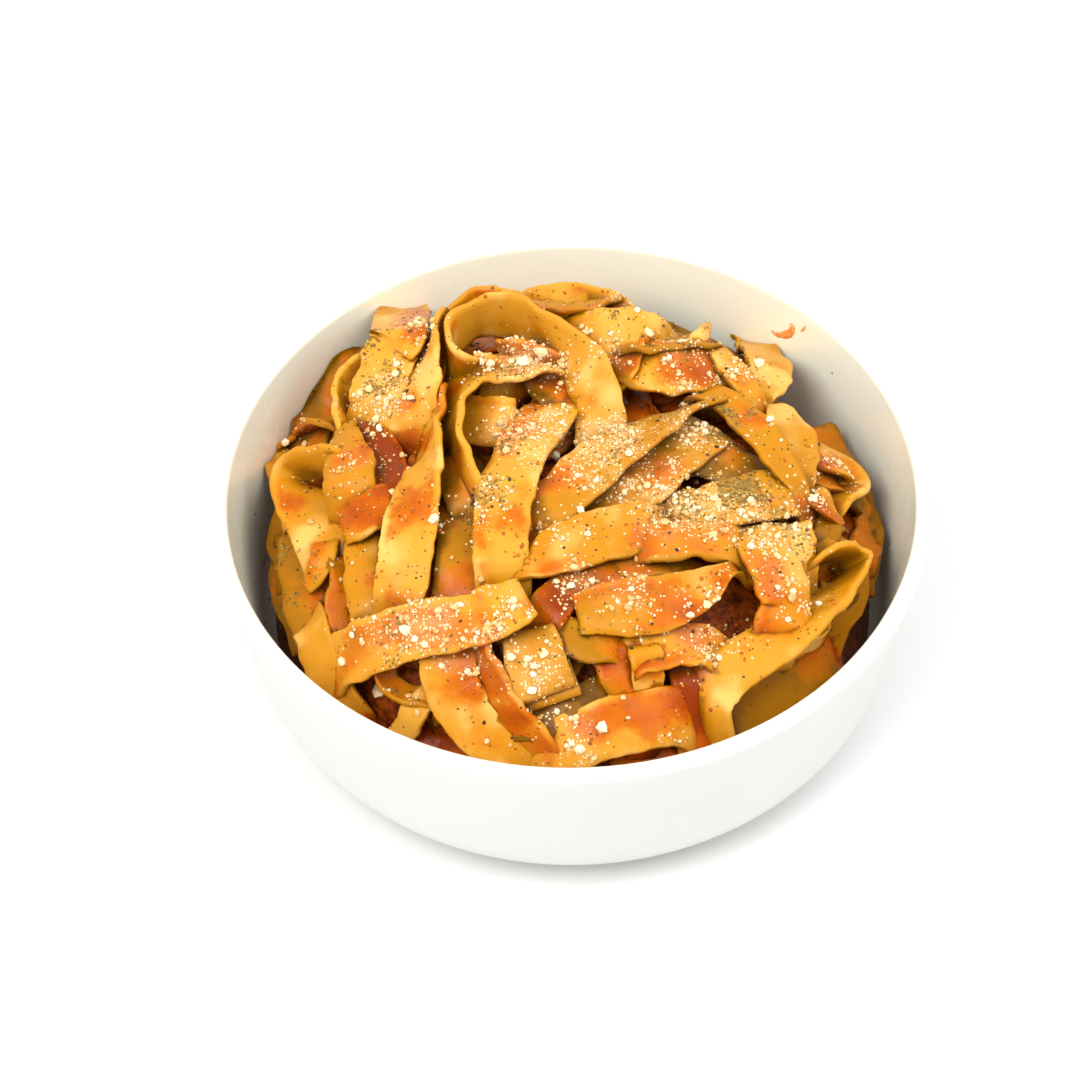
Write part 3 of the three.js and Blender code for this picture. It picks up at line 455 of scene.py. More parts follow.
def sauce_at(p, coat, seed, across):
    """Sauce on a point: the strand's own coat, the spots, a blotchy film, one side with more of it, and less
    on the very edges, where it runs off."""
    x, y = as_seen(p)
    spots = sum(k * math.exp(-((x - a) ** 2 + (y - b) ** 2) / (r * r)) for a, b, r, k in SAUCE_SPOTS)
    blotch = noise.fractal(Vector((p.x / 8, p.y / 8, p.z / 8 + seed)), 1.0, 2.0, 3)
    # Lower in the heap, more sauce and so a darker coat: partly sauce that pools there, partly painted shade.
    deep = max(0, (bed_z(p.x, p.y) + 2.0 - p.z) / 7)
    drift = noise.noise(Vector((p.x / 16, p.y / 16, seed + 5)))
    side = 0.28 * across * math.copysign(1, math.sin(seed * 5)) * (0.6 + drift)
    run_off = 0.3 if abs(across) > 0.9 else 0.0
    return max(0.0, min(1.3, coat + 0.62 * spots + 0.45 * blotch + 0.45 * drift + side + deep - run_off))


def dust_on(points):
    """How thickly fine cheese lies at each point."""
    dust = []
    for p in points:
        x, y = as_seen(p)
        dust.append(min(1.0, sum(n / 170 * math.exp(-((x - a) ** 2 + (y - b) ** 2) / (r * r))
                                 for a, b, r, n in CHEESE if r < WIDE)))
    return dust


# ---------------------------------------------------------------- materials
class Nodes:
    """A new material, with short ways to add shader nodes to it."""

    def __init__(self, name):
        self.material = bpy.data.materials.new(name)
        self.material.use_nodes = True
        self.tree = self.material.node_tree
        self.place = self.new("ShaderNodeTexCoord").outputs["Object"]

    def new(self, kind, **settings):
        node = self.tree.nodes.new(kind)
        for key, value in settings.items():
            setattr(node, key, value)
        return node

    def link(self, source, socket):
        """Joins a node's output to a socket, or sets the socket to a plain value."""
        if hasattr(source, "is_output"):
            self.tree.links.new(source, socket)
        else:
            socket.default_value = source

    def fill(self, node, sockets):
        for name, source in sockets.items():
            self.link(source, node.inputs[name])

    def surface(self, sockets):
        """Fills the sockets of the material's shader, and gives the finished material."""
        self.fill(self.tree.nodes["Principled BSDF"], sockets)
        return self.material

    def noise(self, scale, detail=3.0, distortion=0.0):
        node = self.new("ShaderNodeTexNoise")
        self.fill(node, {"Vector": self.place, "Scale": scale, "Detail": detail, "Roughness": 0.55,
                         "Distortion": distortion})
        return node.outputs["Fac"]

    def cells(self, scale):
        """How far a point lies from the middle of its cell, and a random number for the cell."""
        node = self.new("ShaderNodeTexVoronoi")
        self.fill(node, {"Vector": self.place, "Scale": scale})
        split = self.new("ShaderNodeSeparateColor")
        self.tree.links.new(node.outputs["Color"], split.inputs[0])
        return node.outputs["Distance"], split.outputs[0]

    def stops(self, value, stops):
        """A colour that runs through the stops as the value goes from 0 to 1."""
        node = self.new("ShaderNodeValToRGB")
        self.link(value, node.inputs["Fac"])
        ramp = node.color_ramp
        while len(ramp.elements) < len(stops):
            ramp.elements.new(0.5)
        for element, (place, colour) in zip(ramp.elements, stops):
            element.position, element.color = place, (*colour, 1.0)
        return node.outputs["Color"]

    def attribute(self, name):
        return self.new("ShaderNodeAttribute", attribute_name=name).outputs["Fac"]

    def math(self, operation, a, b):
        node = self.new("ShaderNodeMath", operation=operation)
        self.link(a, node.inputs[0])
        self.link(b, node.inputs[1])
        return node.outputs[0]

    def plus(self, a, b):
        return self.math("ADD", a, b)

    def times(self, a, b):
        return self.math("MULTIPLY", a, b)

    def ramp(self, value, low, high, to_low=0.0, to_high=1.0, smooth=True):
        """The value, moved from the range low to high to the range to_low to to_high."""
        node = self.new("ShaderNodeMapRange", interpolation_type="SMOOTHSTEP" if smooth else "LINEAR")
        self.fill(node, {"Value": value, "From Min": low, "From Max": high, "To Min": to_low,
                         "To Max": to_high})
        return node.outputs["Result"]

    def mix(self, factor, a, b):
        node = self.new("ShaderNodeMix", data_type="RGBA")
        self.link(factor, node.inputs["Factor"])
        for value, name in ((a, "A"), (b, "B")):
            socket = [s for s in node.inputs if s.name == name and s.type == "RGBA"][0]
            self.link(value if hasattr(value, "is_output") else (*value, 1.0), socket)
        return [s for s in node.outputs if s.type == "RGBA"][0]

    def bump(self, height, strength, distance):
        node = self.new("ShaderNodeBump")
        self.fill(node, {"Height": height, "Strength": strength, "Distance": distance})
        return node.outputs["Normal"]


def hue(red, green, blue):
    """A colour in scene light from its usual 0 to 255 values."""
    def linear(v):
        v /= 255
        return v / 12.92 if v <= 0.04045 else ((v + 0.055) / 1.055) ** 2.4
    return linear(red), linear(green), linear(blue)


def pasta_material():
    """Cooked pasta: pale gold where bare, orange to red brown where sauce clings, dusted with cheese.
    It is darker where other strands close it in, as painted shade.
    """
    n = Nodes("pasta_sauced")
    mottle, fine, broad = n.noise(330, 4), n.noise(1500, 2), n.noise(90, 3, distortion=0.6)
    sauce = n.plus(n.attribute("sauce"), n.times(n.math("SUBTRACT", mottle, 0.5), 0.5))
    sauce = n.plus(sauce, n.times(n.math("SUBTRACT", broad, 0.53), 0.65))
    # Painted shade: bare pasta runs from pale gold to olive brown where the shade attribute says it is closed
    # in.
    shade = n.ramp(n.attribute("shade"), 0.1, 0.78)
    tone_and_painted_shade = n.plus(n.times(n.attribute("tone"), 0.5), n.times(shade, 0.6))
    bare = n.stops(tone_and_painted_shade, [
        (0.0, hue(214, 155, 54)), (0.25, hue(192, 127, 16)), (0.5, hue(162, 105, 6)), (1.0, hue(98, 62, 2))])
    # Pale patches where the pasta is open and light in tone: partly random tone, partly a painted highlight
    # on the lit tops.
    pale = n.times(n.ramp(n.noise(75, 2), 0.5, 0.68), n.ramp(shade, 0.1, 0.45, 0.7, 0.0))
    pale = n.times(pale, n.ramp(n.attribute("tone"), 0.35, 0.8, 1.0, 0.0))
    bare = n.mix(pale, bare, hue(236, 188, 104))
    coat = n.stops(n.times(sauce, 0.8), [
        (0.1, hue(204, 129, 18)), (0.32, hue(195, 108, 7)), (0.55, hue(184, 89, 4)),
        (0.78, hue(164, 68, 3)), (1.0, hue(132, 48, 3))])
    # Painted shade on the sauce: a darker brown where closed in.
    coat = n.mix(n.times(shade, 0.7), coat, hue(94, 42, 2))
    colour = n.mix(n.ramp(sauce, 0.1, 0.6), bare, coat)
    dust = n.attribute("dust")
    colour = n.mix(n.times(dust, n.ramp(mottle, 0.35, 0.65, 0.1, 0.6)), colour, hue(226, 172, 104))
    distance, chance = n.cells(620)
    speck = n.times(n.ramp(distance, 0.14, 0.22, 1.0, 0.0), n.ramp(chance, 0.8, 0.82))
    colour = n.mix(n.times(speck, 0.7), colour, hue(98, 55, 12))
    distance, chance = n.cells(1500)
    grain = n.times(n.ramp(distance, 0.3, 0.5, 1.0, 0.0), n.math("LESS_THAN", chance, n.times(dust, 0.7)))
    colour = n.mix(n.times(grain, 0.8), colour, hue(240, 214, 164))
    relief = n.plus(n.times(mottle, n.ramp(sauce, 0.1, 0.9, 0.3, 1.0)), n.times(fine, 0.2))
    relief = n.plus(relief, n.times(grain, 0.5))
    return n.surface({
        "Base Color": colour, "Roughness": n.ramp(sauce, 0.1, 0.8, 0.42, 0.2),
        "Normal": n.bump(relief, 0.45, 0.0008), "Specular IOR Level": 0.08,
        "Subsurface Weight": 0.12, "Subsurface Radius": (1.0, 0.5, 0.15), "Subsurface Scale": 0.0015,
        "Coat Weight": 0.06, "Coat Roughness": 0.12,
    })


def sauce_material():
    """Cooked-down tomato sauce with oil on it."""
    n = Nodes("tomato_sauce")
    lumps = n.noise(500, 4)
    colour = n.mix(n.ramp(lumps, 0.35, 0.7), hue(84, 32, 4), hue(156, 68, 10))
    colour = n.mix(n.ramp(n.noise(1500, 2), 0.66, 0.74), colour, hue(200, 108, 26))
    return n.surface({
        "Base Color": colour, "Roughness": n.ramp(lumps, 0.3, 0.8, 0.3, 0.5),
        "Normal": n.bump(lumps, 0.8, 0.0012), "Specular IOR Level": 0.12,
    })


def cheese_material():
    """Hard grated cheese: dull ivory, a little grainy."""
    n = Nodes("grated_cheese")
    colour = n.stops(n.attribute("tone"), [
        (0.0, hue(246, 231, 198)), (0.45, hue(230, 198, 138)), (1.0, hue(208, 155, 78))])
    colour = n.mix(n.ramp(n.noise(900, 3), 0.5, 0.75, 0.0, 0.4), colour, hue(210, 158, 86))
    return n.surface({
        "Base Color": colour, "Roughness": 0.6, "Normal": n.bump(n.noise(2200, 3), 0.6, 0.0003),
        "Subsurface Weight": 0.3, "Subsurface Radius": (1.0, 0.8, 0.5), "Subsurface Scale": 0.0012,
    })


def pulp_material():
    """Wet bits of cooked tomato, from orange to red brown."""
    n = Nodes("tomato_pulp")
    colour = n.mix(n.attribute("tone"), hue(164, 74, 10), hue(208, 118, 34))
    colour = n.mix(n.ramp(n.noise(1200, 2), 0.4, 0.7, 0.0, 0.5), colour, hue(190, 92, 16))
    return n.surface({
        "Base Color": colour, "Roughness": 0.24, "Normal": n.bump(n.noise(2600, 2), 0.4, 0.0002),
        "Specular IOR Level": 0.25,
    })


def flake_material(name, dark, light, roughness):
    """Dry flakes whose colour runs between two tones."""
    n = Nodes(name)
    colour = n.mix(n.attribute("tone"), dark, light)
    colour = n.mix(n.ramp(n.noise(3000, 2), 0.4, 0.7, 0.0, 0.5), colour, dark)
    return n.surface({
        "Base Color": colour, "Roughness": roughness, "Normal": n.bump(n.noise(4000, 2), 0.5, 0.0002),
    })


def smear_material():
    """Thin orange sauce that has dried on the wall, and dark specks."""
    n = Nodes("sauce_smear")
    sauce = n.mix(n.ramp(n.noise(700, 3), 0.35, 0.65), hue(240, 172, 104), hue(228, 138, 66))
    colour = n.mix(n.attribute("sauce"), sauce, hue(70, 46, 24))
    return n.surface({
        "Base Color": colour, "Roughness": 0.35, "Normal": n.bump(n.noise(1300, 2), 0.4, 0.0003),
    })


def glaze_material():
    """Cream gloss inside the bowl and over the lip, satin white outside: the cream is a painted warm
    reflection of the pasta, and the outside white is darkened as painted shade. Faint pooling and pinholes.
    """
    n = Nodes("bowl_glaze")
    inside = n.attribute("sauce")
    broad = n.noise(22, 3)
    # Painted light: a greyed white outside for shade, a warm cream inside for light thrown back by the pasta.
    white = n.mix(broad, hue(210, 213, 208), hue(205, 208, 203))
    cream = n.mix(broad, hue(250, 253, 236), hue(247, 249, 228))
    distance, chance = n.cells(420)
    pinhole = n.times(n.ramp(distance, 0.05, 0.1, 1.0, 0.0), n.ramp(chance, 0.94, 0.95))
    colour = n.mix(n.times(pinhole, 0.25), n.mix(inside, white, cream), hue(190, 176, 150))
    gloss = n.plus(n.ramp(inside, 0.0, 1.0, 0.34, 0.22, smooth=False),
                   n.ramp(n.noise(60, 3), 0.3, 0.7, -0.04, 0.06))
    return n.surface({
        "Base Color": colour, "Roughness": gloss, "Normal": n.bump(n.noise(130, 4), 0.12, 0.0006),
        "Coat Weight": 0.15, "Coat Roughness": 0.1,
    })


def floor_material():
    """Pale studio paper."""
    n = Nodes("studio_paper")
    return n.surface({
        "Base Color": n.mix(n.noise(3, 2), hue(226, 226, 225), hue(222, 222, 221)),
        "Roughness": 0.9, "Specular IOR Level": 0.1,
    })


# ---------------------------------------------------------------- bowl
def make_bowl():
    lip = WALL / 2
    lip_z = HEIGHT - lip
    lip_x = (OUTSIDE["wall_at"](lip_z) + INSIDE["wall_at"](lip_z)) / 2
    lip_arc = [(lip_x + lip * math.cos(i / 14 * math.pi), lip_z + lip * math.sin(i / 14 * math.pi))
               for i in range(15)]
    foot = OUTSIDE["centre"][0]
    outer = corner_points(OUTSIDE, 20)
    inner = corner_points(INSIDE, 18)
    wall = [i / 6 for i in range(1, 6)]
    outer_wall, inner_wall = (
        [(low[0] + (high[0] - low[0]) * t, low[1] + (high[1] - low[1]) * t) for t in wall]
        for low, high in ((outer[-1], lip_arc[0]), (inner[-1], lip_arc[-1])))
    base = [(0.0, FOOT_DEPTH), (20, FOOT_DEPTH), (foot - FOOT_WIDTH - FOOT_DEPTH, FOOT_DEPTH),
            (foot - FOOT_WIDTH - 0.4, 0.35), (foot - FOOT_WIDTH + 0.4, 0.0)]
    floor = [(20, FLOOR), (0.0, FLOOR)]
    profile = base + outer + outer_wall + lip_arc + inner_wall[::-1] + inner[::-1] + floor
    lip_start = len(base) + len(outer) + len(outer_wall)
    turns = 192
    b = Builder()
    points, sauce = [], []
    for j, (r, z) in enumerate(profile):
        ring = 1 if r == 0 else turns
        for k in range(ring):
            a = k / turns * 2 * math.pi
            points.append(Vector((r * math.cos(a), r * math.sin(a), z)))
            # The sauce attribute here marks the inside past the lip, where the glaze turns to its cream, a
            # painted warm reflection.
            sauce.append(max(0.0, min(1.0, (j - lip_start - 6) / 7)))
    last = len(points) - 1
    faces = grid(len(profile) - 2, turns, base=1) + fan(0, 1, turns, turned=True)
    b.add(points, faces + fan(last, last - turns, turns), sauce=sauce)
    return b


# ---------------------------------------------------------------- pasta
def tucked(before, end):
    """The point inside the heap where a strand goes to that comes from one point and passes the next."""
    onward = Vector((end.x - before.x, end.y - before.y, 0)).normalized() * TUCK_REACH
    x, y = end.x + onward.x, end.y + onward.y
    return Vector((x, y, min(end.z - 1, bed_z(x, y) - TUCK_DEPTH)))


def strand_parts(name):
    """A strand's route with its leans and shares, gone on with where its ends are hidden."""
    width, stations = STRANDS[name][0], STRANDS[name][1:]
    route = [seat(s[0], s[1], s[2]) for s in stations]
    leans = [float(s[3]) for s in stations]
    shares = [float(s[4]) if len(s) > 4 else 1.0 for s in stations]
    if name not in CUT_STARTS:
        route.insert(0, tucked(route[1], route[0]))
        leans.insert(0, leans[0])
        shares.insert(0, shares[0])
    if name not in CUT_ENDS:
        route.append(tucked(route[-2], route[-1]))
        leans.append(leans[-1])
        shares.append(shares[-1])
    return route, leans, shares, width


def make_strands():
    b = Builder()
    for index, name in enumerate(STRANDS):
        rng = random.Random(index + SEEDS["strands"])
        points, faces, across = ribbon(*strand_parts(name), rng)
        # Strands in the shade of others take their tone from the painted shade table, the rest a random one.
        tone = PAINTED_SHADE_TONES.get(name, 0.7 * rng.random())
        coat = COATED.get(name, 0.15)
        sauce = [sauce_at(p, coat, index * 7.3, a) for p, a in zip(points, across)]
        b.add(points, faces, sauce, tone, dust_on(points))
    return b


# The hidden core under the strands: its radius, how far below the bed it stays, how high it follows the
# corner of the bowl, and how lumpy its top is.
CORE_RADIUS, CORE_DROP, CORE_FOOT, CORE_LUMPS = 58.0, 4.5, 13, 1.4

# Deep gaps between the strands that nothing crosses: (x, y, radius), x and y as seen.
HOLES = [
    (-35, 13, 3.5), (-18, 28, 3), (-12, 26, 3), (-40, -55, 4), (31, -28, 4), (33, -35, 3), (29, 13, 3),
    (35, 8, 3.5), (46, -40, 2.5), (-47.5, -29, 2.5), (21, -49, 2.5), (45, 23, 3), (44, -12, 2.5),
    (-13, -28, 2.5), (-1, 4, 1.5), (-52, 11, 1.5), (15, -24, 2), (8, -56, 2),
]


def crosses_hole(route):
    return any(math.dist(as_seen(p), hole[:2]) < hole[2] + 5 for p in route for hole in HOLES)


def add_filler(b, rng, route, leans, widths, tones, coat, seed):
    """Adds a strand whose width and tone are drawn from the given ranges."""
    points, faces, across = ribbon(route, leans, [1.0] * len(route), rng.uniform(*widths), rng)
    sauce = [sauce_at(p, coat, seed, a) for p, a in zip(points, across)]
    b.add(points, faces, sauce, rng.uniform(*tones))


BED_FILLERS, BED_REACH = 190, 57
EDGE_FILLERS = 26


def add_bed_fillers(b):
    """Shorter, darker strands that lie in the bed and fill the gaps between those that show."""
    rng = random.Random(SEEDS["bed"])
    for index in range(BED_FILLERS):
        reach = (BED_REACH - 2) * math.sqrt(rng.random())
        around = rng.uniform(0, 2 * math.pi)
        place = Vector((reach * math.cos(around), reach * math.sin(around) + BED["centre_y"], 0))
        heading = rng.uniform(0, 2 * math.pi)
        bend = rng.uniform(-0.5, 0.5)
        low = rng.uniform(-3.2, -1.2)
        route = []
        for i in range(rng.randint(4, 6)):
            lift = low + rng.uniform(-0.7, 0.7)
            r = math.hypot(place.x, place.y)
            if r > BED_REACH:
                place *= BED_REACH / r
                heading += 1.2
            route.append(Vector((place.x, place.y, bed_z(place.x, place.y) + lift)))
            place += Vector((math.cos(heading), math.sin(heading), 0)) * rng.uniform(6.5, 8.5)
            heading += bend + rng.uniform(-0.3, 0.3)
        if crosses_hole(route):
            continue
        leans = [rng.uniform(-16, 16)]
        for _ in route[1:]:
            leans.append(leans[-1] + rng.uniform(-12, 12))
        # The dark tones are painted shade, for strands that lie deep in the heap.
        add_filler(b, rng, route, leans, (8, 11.5), (1.3, 2.0), coat=0.35, seed=index * 3.1)


def add_edge_fillers(b):
    """Strands that lie along the bowl's wall, their outer edge up against it, and close the gap there."""
    rng = random.Random(SEEDS["edge"])
    for index in range(EDGE_FILLERS):
        start = 2 * math.pi * index / EDGE_FILLERS
        route = []
        for i in range(5):
            around, reach = start + 0.12 * i, rng.uniform(59.0, 62.5)
            x, y = reach * math.cos(around), reach * math.sin(around)
            route.append(Vector((x, y, bed_z(x, y) + rng.uniform(-2.6, -0.6))))
        if crosses_hole(route):
            continue
        leans = [rng.uniform(5, 28) for _ in route]
        # The darker tones are painted shade, for strands that lie low against the wall.
        add_filler(b, rng, route, leans, (8, 11), (1.0, 1.6), coat=0.2, seed=index * 3.1)


def make_fillers():
    b = Builder()
    add_bed_fillers(b)
    add_edge_fillers(b)
    return b


def make_core():
    """The hidden inside of the heap, as deep red sauce, down to the bowl's floor."""
    b = Builder()
    turns, rings = 96, 40
    angles = [k / turns * 2 * math.pi for k in range(turns)]
    rows = [[Vector((r * math.cos(a), r * math.sin(a), z)) for a in angles]
            for r, z in corner_points(PASTA_LIMIT, 8) if z < CORE_FOOT]
    for j in range(rings):
        r = CORE_RADIUS * (1 - j / rings) ** 0.8
        row = []
        for a in angles:
            x, y = r * math.cos(a), r * math.sin(a) + BED["centre_y"]
            lump = noise.fractal(Vector((x / 5, y / 5, 3.0)), 1.0, 2.0, 3) * CORE_LUMPS
            row.append(inside_bowl(Vector((x, y, bed_z(x, y) - CORE_DROP + lump))))
        rows.append(row)
    points = [p for row in rows for p in row]
    low, high = len(points), len(points) + 1
    points += [Vector((0, 0, PASTA_LIMIT["bottom"])), Vector((0, BED["centre_y"], bed_z(0, 0) - CORE_DROP))]
    faces = grid(len(rows), turns) + fan(low, 0, turns, turned=True)
    b.add(points, faces + fan(high, low - turns, turns))
    return b


# ---------------------------------------------------------------- toppings
ICO_POINTS = [Vector(p).normalized() for p in (
    (0, 1, 1.618), (0, -1, 1.618), (0, 1, -1.618), (0, -1, -1.618), (1, 1.618, 0), (-1, 1.618, 0),
    (1, -1.618, 0), (-1, -1.618, 0), (1.618, 0, 1), (-1.618, 0, 1), (1.618, 0, -1), (-1.618, 0, -1))]
ICO_FACES = [f for f in (
    (0, 1, 8), (0, 8, 4), (0, 4, 5), (0, 5, 9), (0, 9, 1), (1, 6, 8), (8, 6, 10), (8, 10, 4), (4, 10, 2),
    (4, 2, 5), (5, 2, 11), (5, 11, 9), (9, 11, 7), (9, 7, 1), (1, 7, 6), (3, 6, 7), (3, 7, 11), (3, 11, 2),
    (3, 2, 10), (3, 10, 6))]


def lump(centre, size, flat, rng, normal=Vector((0, 0, 1))):
    """An irregular grain with 20 facets."""
    turn = normal.to_track_quat("Z", "Y").to_matrix() @ Matrix.Rotation(rng.uniform(0, 6.28), 3, "Z")
    stretch = Vector((rng.uniform(0.7, 1.2), rng.uniform(0.7, 1.2), flat))
    points = []
    for p in ICO_POINTS:
        q = Vector((p.x * stretch.x, p.y * stretch.y, p.z * stretch.z)) * (size / 2) * rng.uniform(0.75, 1.2)
        points.append(centre + turn @ q)
    return points, ICO_FACES


class Ground:
    """What the toppings lie on: the pasta, found by looking down or along the line of sight."""

    def __init__(self, builders):
        points, polygons = [], []
        for b in builders:
            base = len(points)
            points += b.points
            polygons += [[base + i for i in f] for f in b.faces]
        self.tree = BVHTree.FromPolygons(points, polygons)

    def seen(self, x, y):
        towards = (Vector((x, y, HEIGHT)) - EYE).normalized()
        place, normal, _, _ = self.tree.ray_cast(EYE, towards)
        return place, normal

    def below(self, x, y):
        place, normal, _, _ = self.tree.ray_cast(Vector((x, y, 120)), Vector((0, 0, -1)))
        return place, normal


def add_shade(obj, ground, reach=13.0, rays=12):
    """Stores at each vertex how much of what is over it is closed in by other strands, from 0 to 1.
    The pasta's colour uses it for painted shade.
    """
    rng = random.Random(SEEDS["shade"])
    directions = []
    while len(directions) < rays:
        d = Vector((rng.gauss(0, 1), rng.gauss(0, 1), rng.gauss(0, 1)))
        if d.length > 0.1:
            directions.append(d.normalized())
    shade = []
    for vertex in obj.data.vertices:
        start = vertex.co / MM + vertex.normal * 0.3
        closed = 0.0
        for d in directions:
            towards = (d + vertex.normal * 1.05).normalized()
            distance = ground.tree.ray_cast(start, towards, reach)[3]
            if distance is not None:
                closed += 1 - 0.6 * distance / reach
        shade.append(min(1.0, closed / rays))
    obj.data.attributes.new("shade", "FLOAT", "POINT").data.foreach_set("value", shade)


# Toppings lie no further out than this, and on no face that is steeper: the upward part of its normal.
BOWL_REACH, STEEPEST = 66, 0.25


def scatter(ground, areas, rng):
    """Places on the pasta round the centres of the areas, which are given as the eye sees them. What lies
    there lies in small clumps."""
    for x, y, spread, count in areas:
        centre, _ = ground.seen(x, y)
        if centre is None:
            continue
        clumps = [(rng.gauss(centre.x, spread * 0.5), rng.gauss(centre.y, spread * 0.5))
                  for _ in range(max(3, count // CLUMP_SIZE))]
        for _ in range(count):
            if spread > WIDE:
                reach, around = SPRINKLED * math.sqrt(rng.random()), rng.uniform(0, 6.283)
                px, py = reach * math.cos(around), reach * math.sin(around)
            else:
                px, py = (rng.gauss(c, CLUMP_SPREAD) for c in rng.choice(clumps))
            place, normal = ground.below(px, py)
            if place is not None and math.hypot(place.x, place.y) < BOWL_REACH and normal.z > STEEPEST:
                yield place, normal


def make_cheese(ground):
    rng = random.Random(SEEDS["cheese"])
    material = cheese_material()
    big = Builder()
    for x, y, size in GRAINS:
        place, normal = ground.seen(x, y)
        points, faces = lump(place + Vector((0, 0, 0.15 * size)), size, 0.8, rng)
        big.add(points, faces, tone=rng.random() * 0.3)
    grains = big.object("cheese_grains", material, smooth=False)
    crumbs = Builder()
    for place, normal in scatter(ground, CHEESE, rng):
        sizes = rng.uniform(0.3, 0.6), rng.uniform(0.6, 1.1), rng.uniform(1.1, 1.9)
        size = rng.choices(sizes, (66, 27, 7))[0]
        points, faces = lump(place + normal * 0.2 * size, size, rng.uniform(0.5, 0.9), rng, normal)
        crumbs.add(points, faces, tone=rng.random())
    return [grains, crumbs.object("cheese_crumbs", material, smooth=False)]


def strew(ground, areas, rng, size_of, flats, lift):
    """Grains over the areas, each with a size from size_of and a flatness drawn from a range. The middle of
    a grain lies so high above the pasta."""
    b = Builder()
    for place, normal in scatter(ground, areas, rng):
        points, faces = lump(place + normal * lift, size_of(), rng.uniform(*flats), rng, normal)
        b.add(points, faces, tone=rng.random())
    return b


def make_pulp(ground):
    """Small bits of tomato that stick up where the sauce lies thick."""
    rng = random.Random(SEEDS["pulp"])
    places = [(x, y, radius * 0.9, round(PULP_COUNT * strength)) for x, y, radius, strength in SAUCE_SPOTS]
    b = strew(ground, places, rng, lambda: rng.uniform(0.35, 1.0), flats=(0.3, 0.5), lift=0.04)
    return b.object("tomato_pulp", pulp_material())


def make_flakes(ground):
    rng = random.Random(SEEDS["flakes"])

    def pepper_size():
        return rng.uniform(0.25, 0.5) if rng.random() < 0.9 else rng.uniform(0.6, 1.1)

    herbs = strew(ground, HERBS, rng, lambda: rng.uniform(0.28, 0.75), flats=(0.25, 0.5), lift=0.1)
    pepper = strew(ground, [(0, 0, 40, PEPPER_COUNT)], rng, pepper_size, flats=(0.4, 0.8), lift=0.1)
    herb = flake_material("dried_herb", hue(96, 68, 14), hue(182, 144, 56), 0.75)
    peppercorn = flake_material("black_pepper", hue(38, 22, 10), hue(112, 70, 30), 0.6)
    return [herbs.object("herb_flakes", herb, smooth=False),
            pepper.object("pepper_flakes", peppercorn, smooth=False)]


# Sauce wiped on the wall of the bowl: stations of each smear, (x, y, half width), x and y as seen.
SMEARS = [
    [(44.2, 43.0, 0.3), (45.2, 41.9, 0.7), (46.8, 41.6, 1.1), (48.4, 42.4, 1.2), (48.9, 44.2, 0.8),
     (48.4, 45.2, 0.3)],
    [(50.6, 42.6, 0.25), (51.3, 43.4, 0.5), (51.8, 44.4, 0.2)],
]
# Specks on the wall, (x, y) as seen.
WALL_SPECKS = [
    (48.2, 42.9), (-62.5, -31), (-61, -36.5), (-63.8, -26), (-58.5, -40.5), (-65, -8), (-63, 2.5),
    (-60.5, -30.5), (-62.2, -21), (-61.4, -13), (56.5, 30), (64.5, -18), (59, -34),
]


def make_smears(wall):
    """Thin films with a rounded top, stuck to the wall, and a few specks of pepper."""
    b = Builder()
    rng = random.Random(SEEDS["smears"])
    count, ring = 24, 9
    for smear in SMEARS:
        hits = [wall.seen(x, y) for x, y, _ in smear]
        halves = [h for _, _, h in smear]
        places = [place for place, _ in hits]
        normals = [normal for _, normal in hits]
        points = []
        for i in range(count + 1):
            u = i / count
            middle, normal = catmull(places, u), catmull(normals, u).normalized()
            ahead = (catmull(places, min(1, u + 0.03)) - catmull(places, max(0, u - 0.03))).normalized()
            side = ahead.cross(normal)
            half = max(0.15, catmull(halves, u)) * (1 + 0.25 * noise.noise(middle * 0.9))
            for k in range(ring):
                a = -1 + 2 * k / (ring - 1)
                height = 0.45 * (1 - a * a) * min(1, half) - 0.1
                points.append(middle + side * (a * half) + normal * height)
        b.add(points, grid(count + 1, ring, closed=False))
    for x, y in WALL_SPECKS:
        place, normal = wall.seen(x, y)
        b.add(*lump(place + normal * 0.05, rng.uniform(0.35, 0.8), 0.4, rng, normal), sauce=1.0)
    return b.object("wall_smears", smear_material())


# ---------------------------------------------------------------- building
def finish_piece(obj):
    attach(obj, "root")
    return obj


bowl = make_bowl()
bowl_obj = finish_piece(bowl.object("bowl_glazed", glaze_material()))
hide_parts("bowl")

pasta_mat = pasta_material()
strands, fillers, core = make_strands(), make_fillers(), make_core()
pasta_ground = Ground([strands, fillers, core])
strands_obj = finish_piece(strands.object("fettuccine_strands", pasta_mat))
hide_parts("fettuccine_heap")
fillers_obj = finish_piece(fillers.object("fettuccine_under", pasta_mat))
for obj in (strands_obj, fillers_obj):
    add_shade(obj, pasta_ground)
finish_piece(core.object("heap_core", sauce_material()))
for topping in [make_pulp(pasta_ground), *make_cheese(pasta_ground), *make_flakes(pasta_ground)]:
    finish_piece(topping)
finish_piece(make_smears(Ground([bowl])))


# ---------------------------------------------------------------- stage, light and camera
def make_floor():
    half = 3.0
    mesh = bpy.data.meshes.new("floor")
    corners = [(-half, -half, 0), (half, -half, 0), (half, half, 0), (-half, half, 0)]
    mesh.from_pydata(corners, [], [[0, 1, 2, 3]])
    mesh.materials.append(floor_material())
    obj = bpy.data.objects.new("floor", mesh)
    bpy.context.scene.collection.objects.link(obj)


LIT_POINT = Vector((0, 0, 0.03))


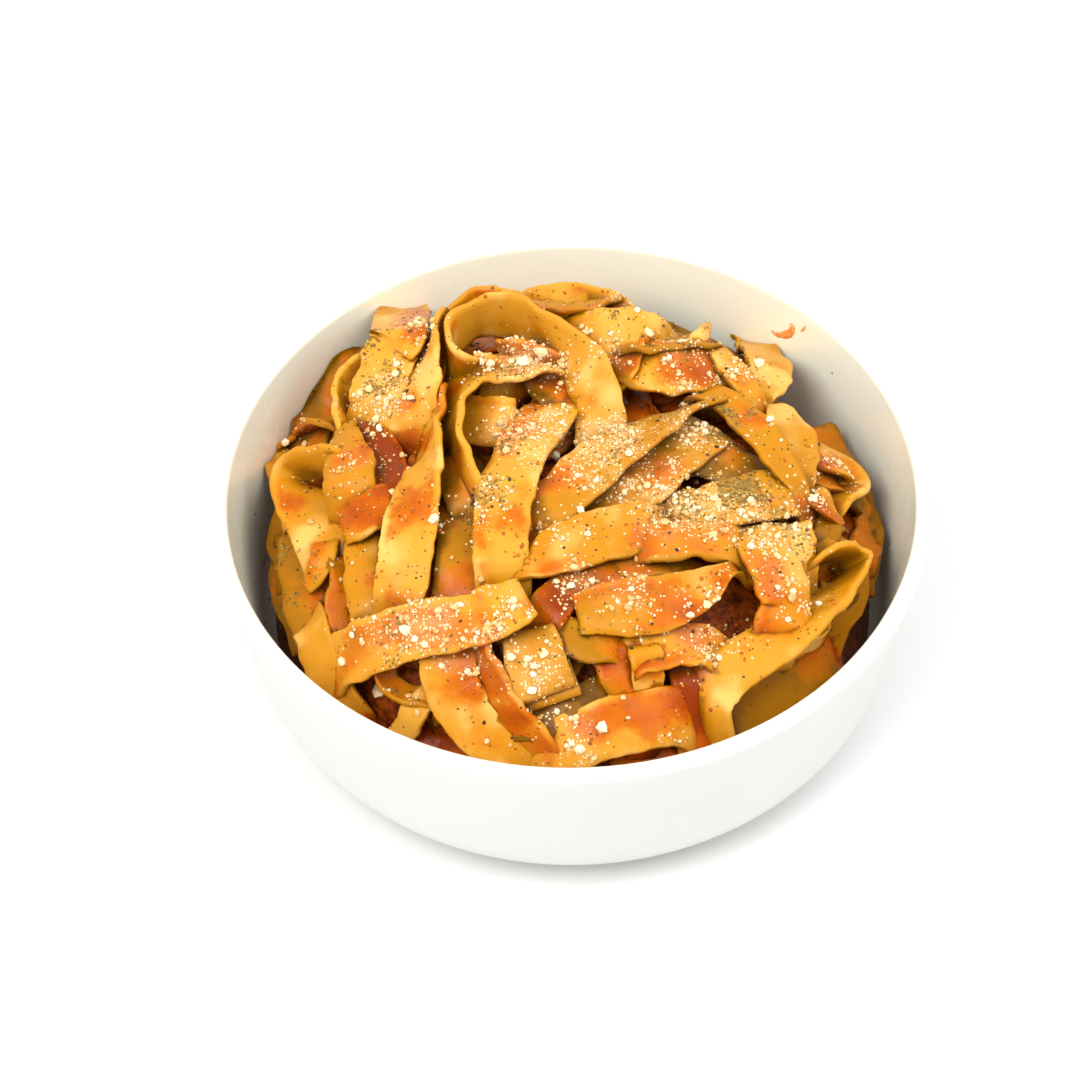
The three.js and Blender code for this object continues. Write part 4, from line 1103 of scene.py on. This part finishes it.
def area_light(name, place, size, power, colour=(1, 1, 1)):
    """A round soft light that faces the object, with its place and size in metres."""
    light = bpy.data.lights.new(name, "AREA")
    light.shape, light.size, light.energy, light.color = "DISK", size, power, colour
    obj = bpy.data.objects.new(name, light)
    obj.location = place
    obj.rotation_mode = "QUATERNION"
    obj.rotation_quaternion = (LIT_POINT - Vector(place)).to_track_quat("-Z", "Y")
    bpy.context.scene.collection.objects.link(obj)


# The photograph's viewpoint, as fitted to the bowl: how far the eye is from the middle of the rim, how
# high above the rim, where it looks from there, and the lens, which spans 2506 of the picture's pixels,
# where the picture is 1080 wide.
EYE_DISTANCE, EYE_ELEVATION = 520.0, math.radians(48.64)
PAN, TILT, ROLL = math.radians(-1.11), math.radians(1.33), math.radians(-1.54)
SENSOR, LENS = 36.0, 36.0 * 2506 / 1080


def make_camera():
    eye = Vector((0, -math.cos(EYE_ELEVATION), math.sin(EYE_ELEVATION))) * EYE_DISTANCE
    eye += Vector((0, 0, HEIGHT))
    down = EYE_ELEVATION + TILT
    forward = Vector((math.sin(PAN) * math.cos(down), math.cos(PAN) * math.cos(down), -math.sin(down)))
    right = forward.cross(Vector((0, 0, 1))).normalized()
    up = right.cross(forward)
    x = right * math.cos(ROLL) + up * math.sin(ROLL)
    y = up * math.cos(ROLL) - right * math.sin(ROLL)
    data = bpy.data.cameras.new("camera")
    data.sensor_width, data.lens = SENSOR, LENS
    data.clip_start, data.clip_end = 0.02, 20
    camera = bpy.data.objects.new("camera", data)
    camera.matrix_world = Matrix((
        (x.x, y.x, -forward.x, eye.x * MM), (x.y, y.y, -forward.y, eye.y * MM),
        (x.z, y.z, -forward.z, eye.z * MM), (0, 0, 0, 1)))
    bpy.context.scene.collection.objects.link(camera)
    bpy.context.scene.camera = camera


def make_world():
    """Even white light from all round."""
    world = bpy.data.worlds.new("studio")
    world.use_nodes = True
    background = world.node_tree.nodes["Background"]
    background.inputs["Color"].default_value = (1.0, 1.0, 1.0, 1.0)
    background.inputs["Strength"].default_value = 1.0
    bpy.context.scene.world = world
    bpy.context.scene.view_settings.view_transform = "Standard"


make_floor()
area_light("key", (-0.32, -0.34, 0.72), size=0.45, power=4.6, colour=(1.0, 0.99, 0.97))
area_light("fill", (0.42, -0.12, 0.74), size=0.7, power=3.6)
make_world()
make_camera()
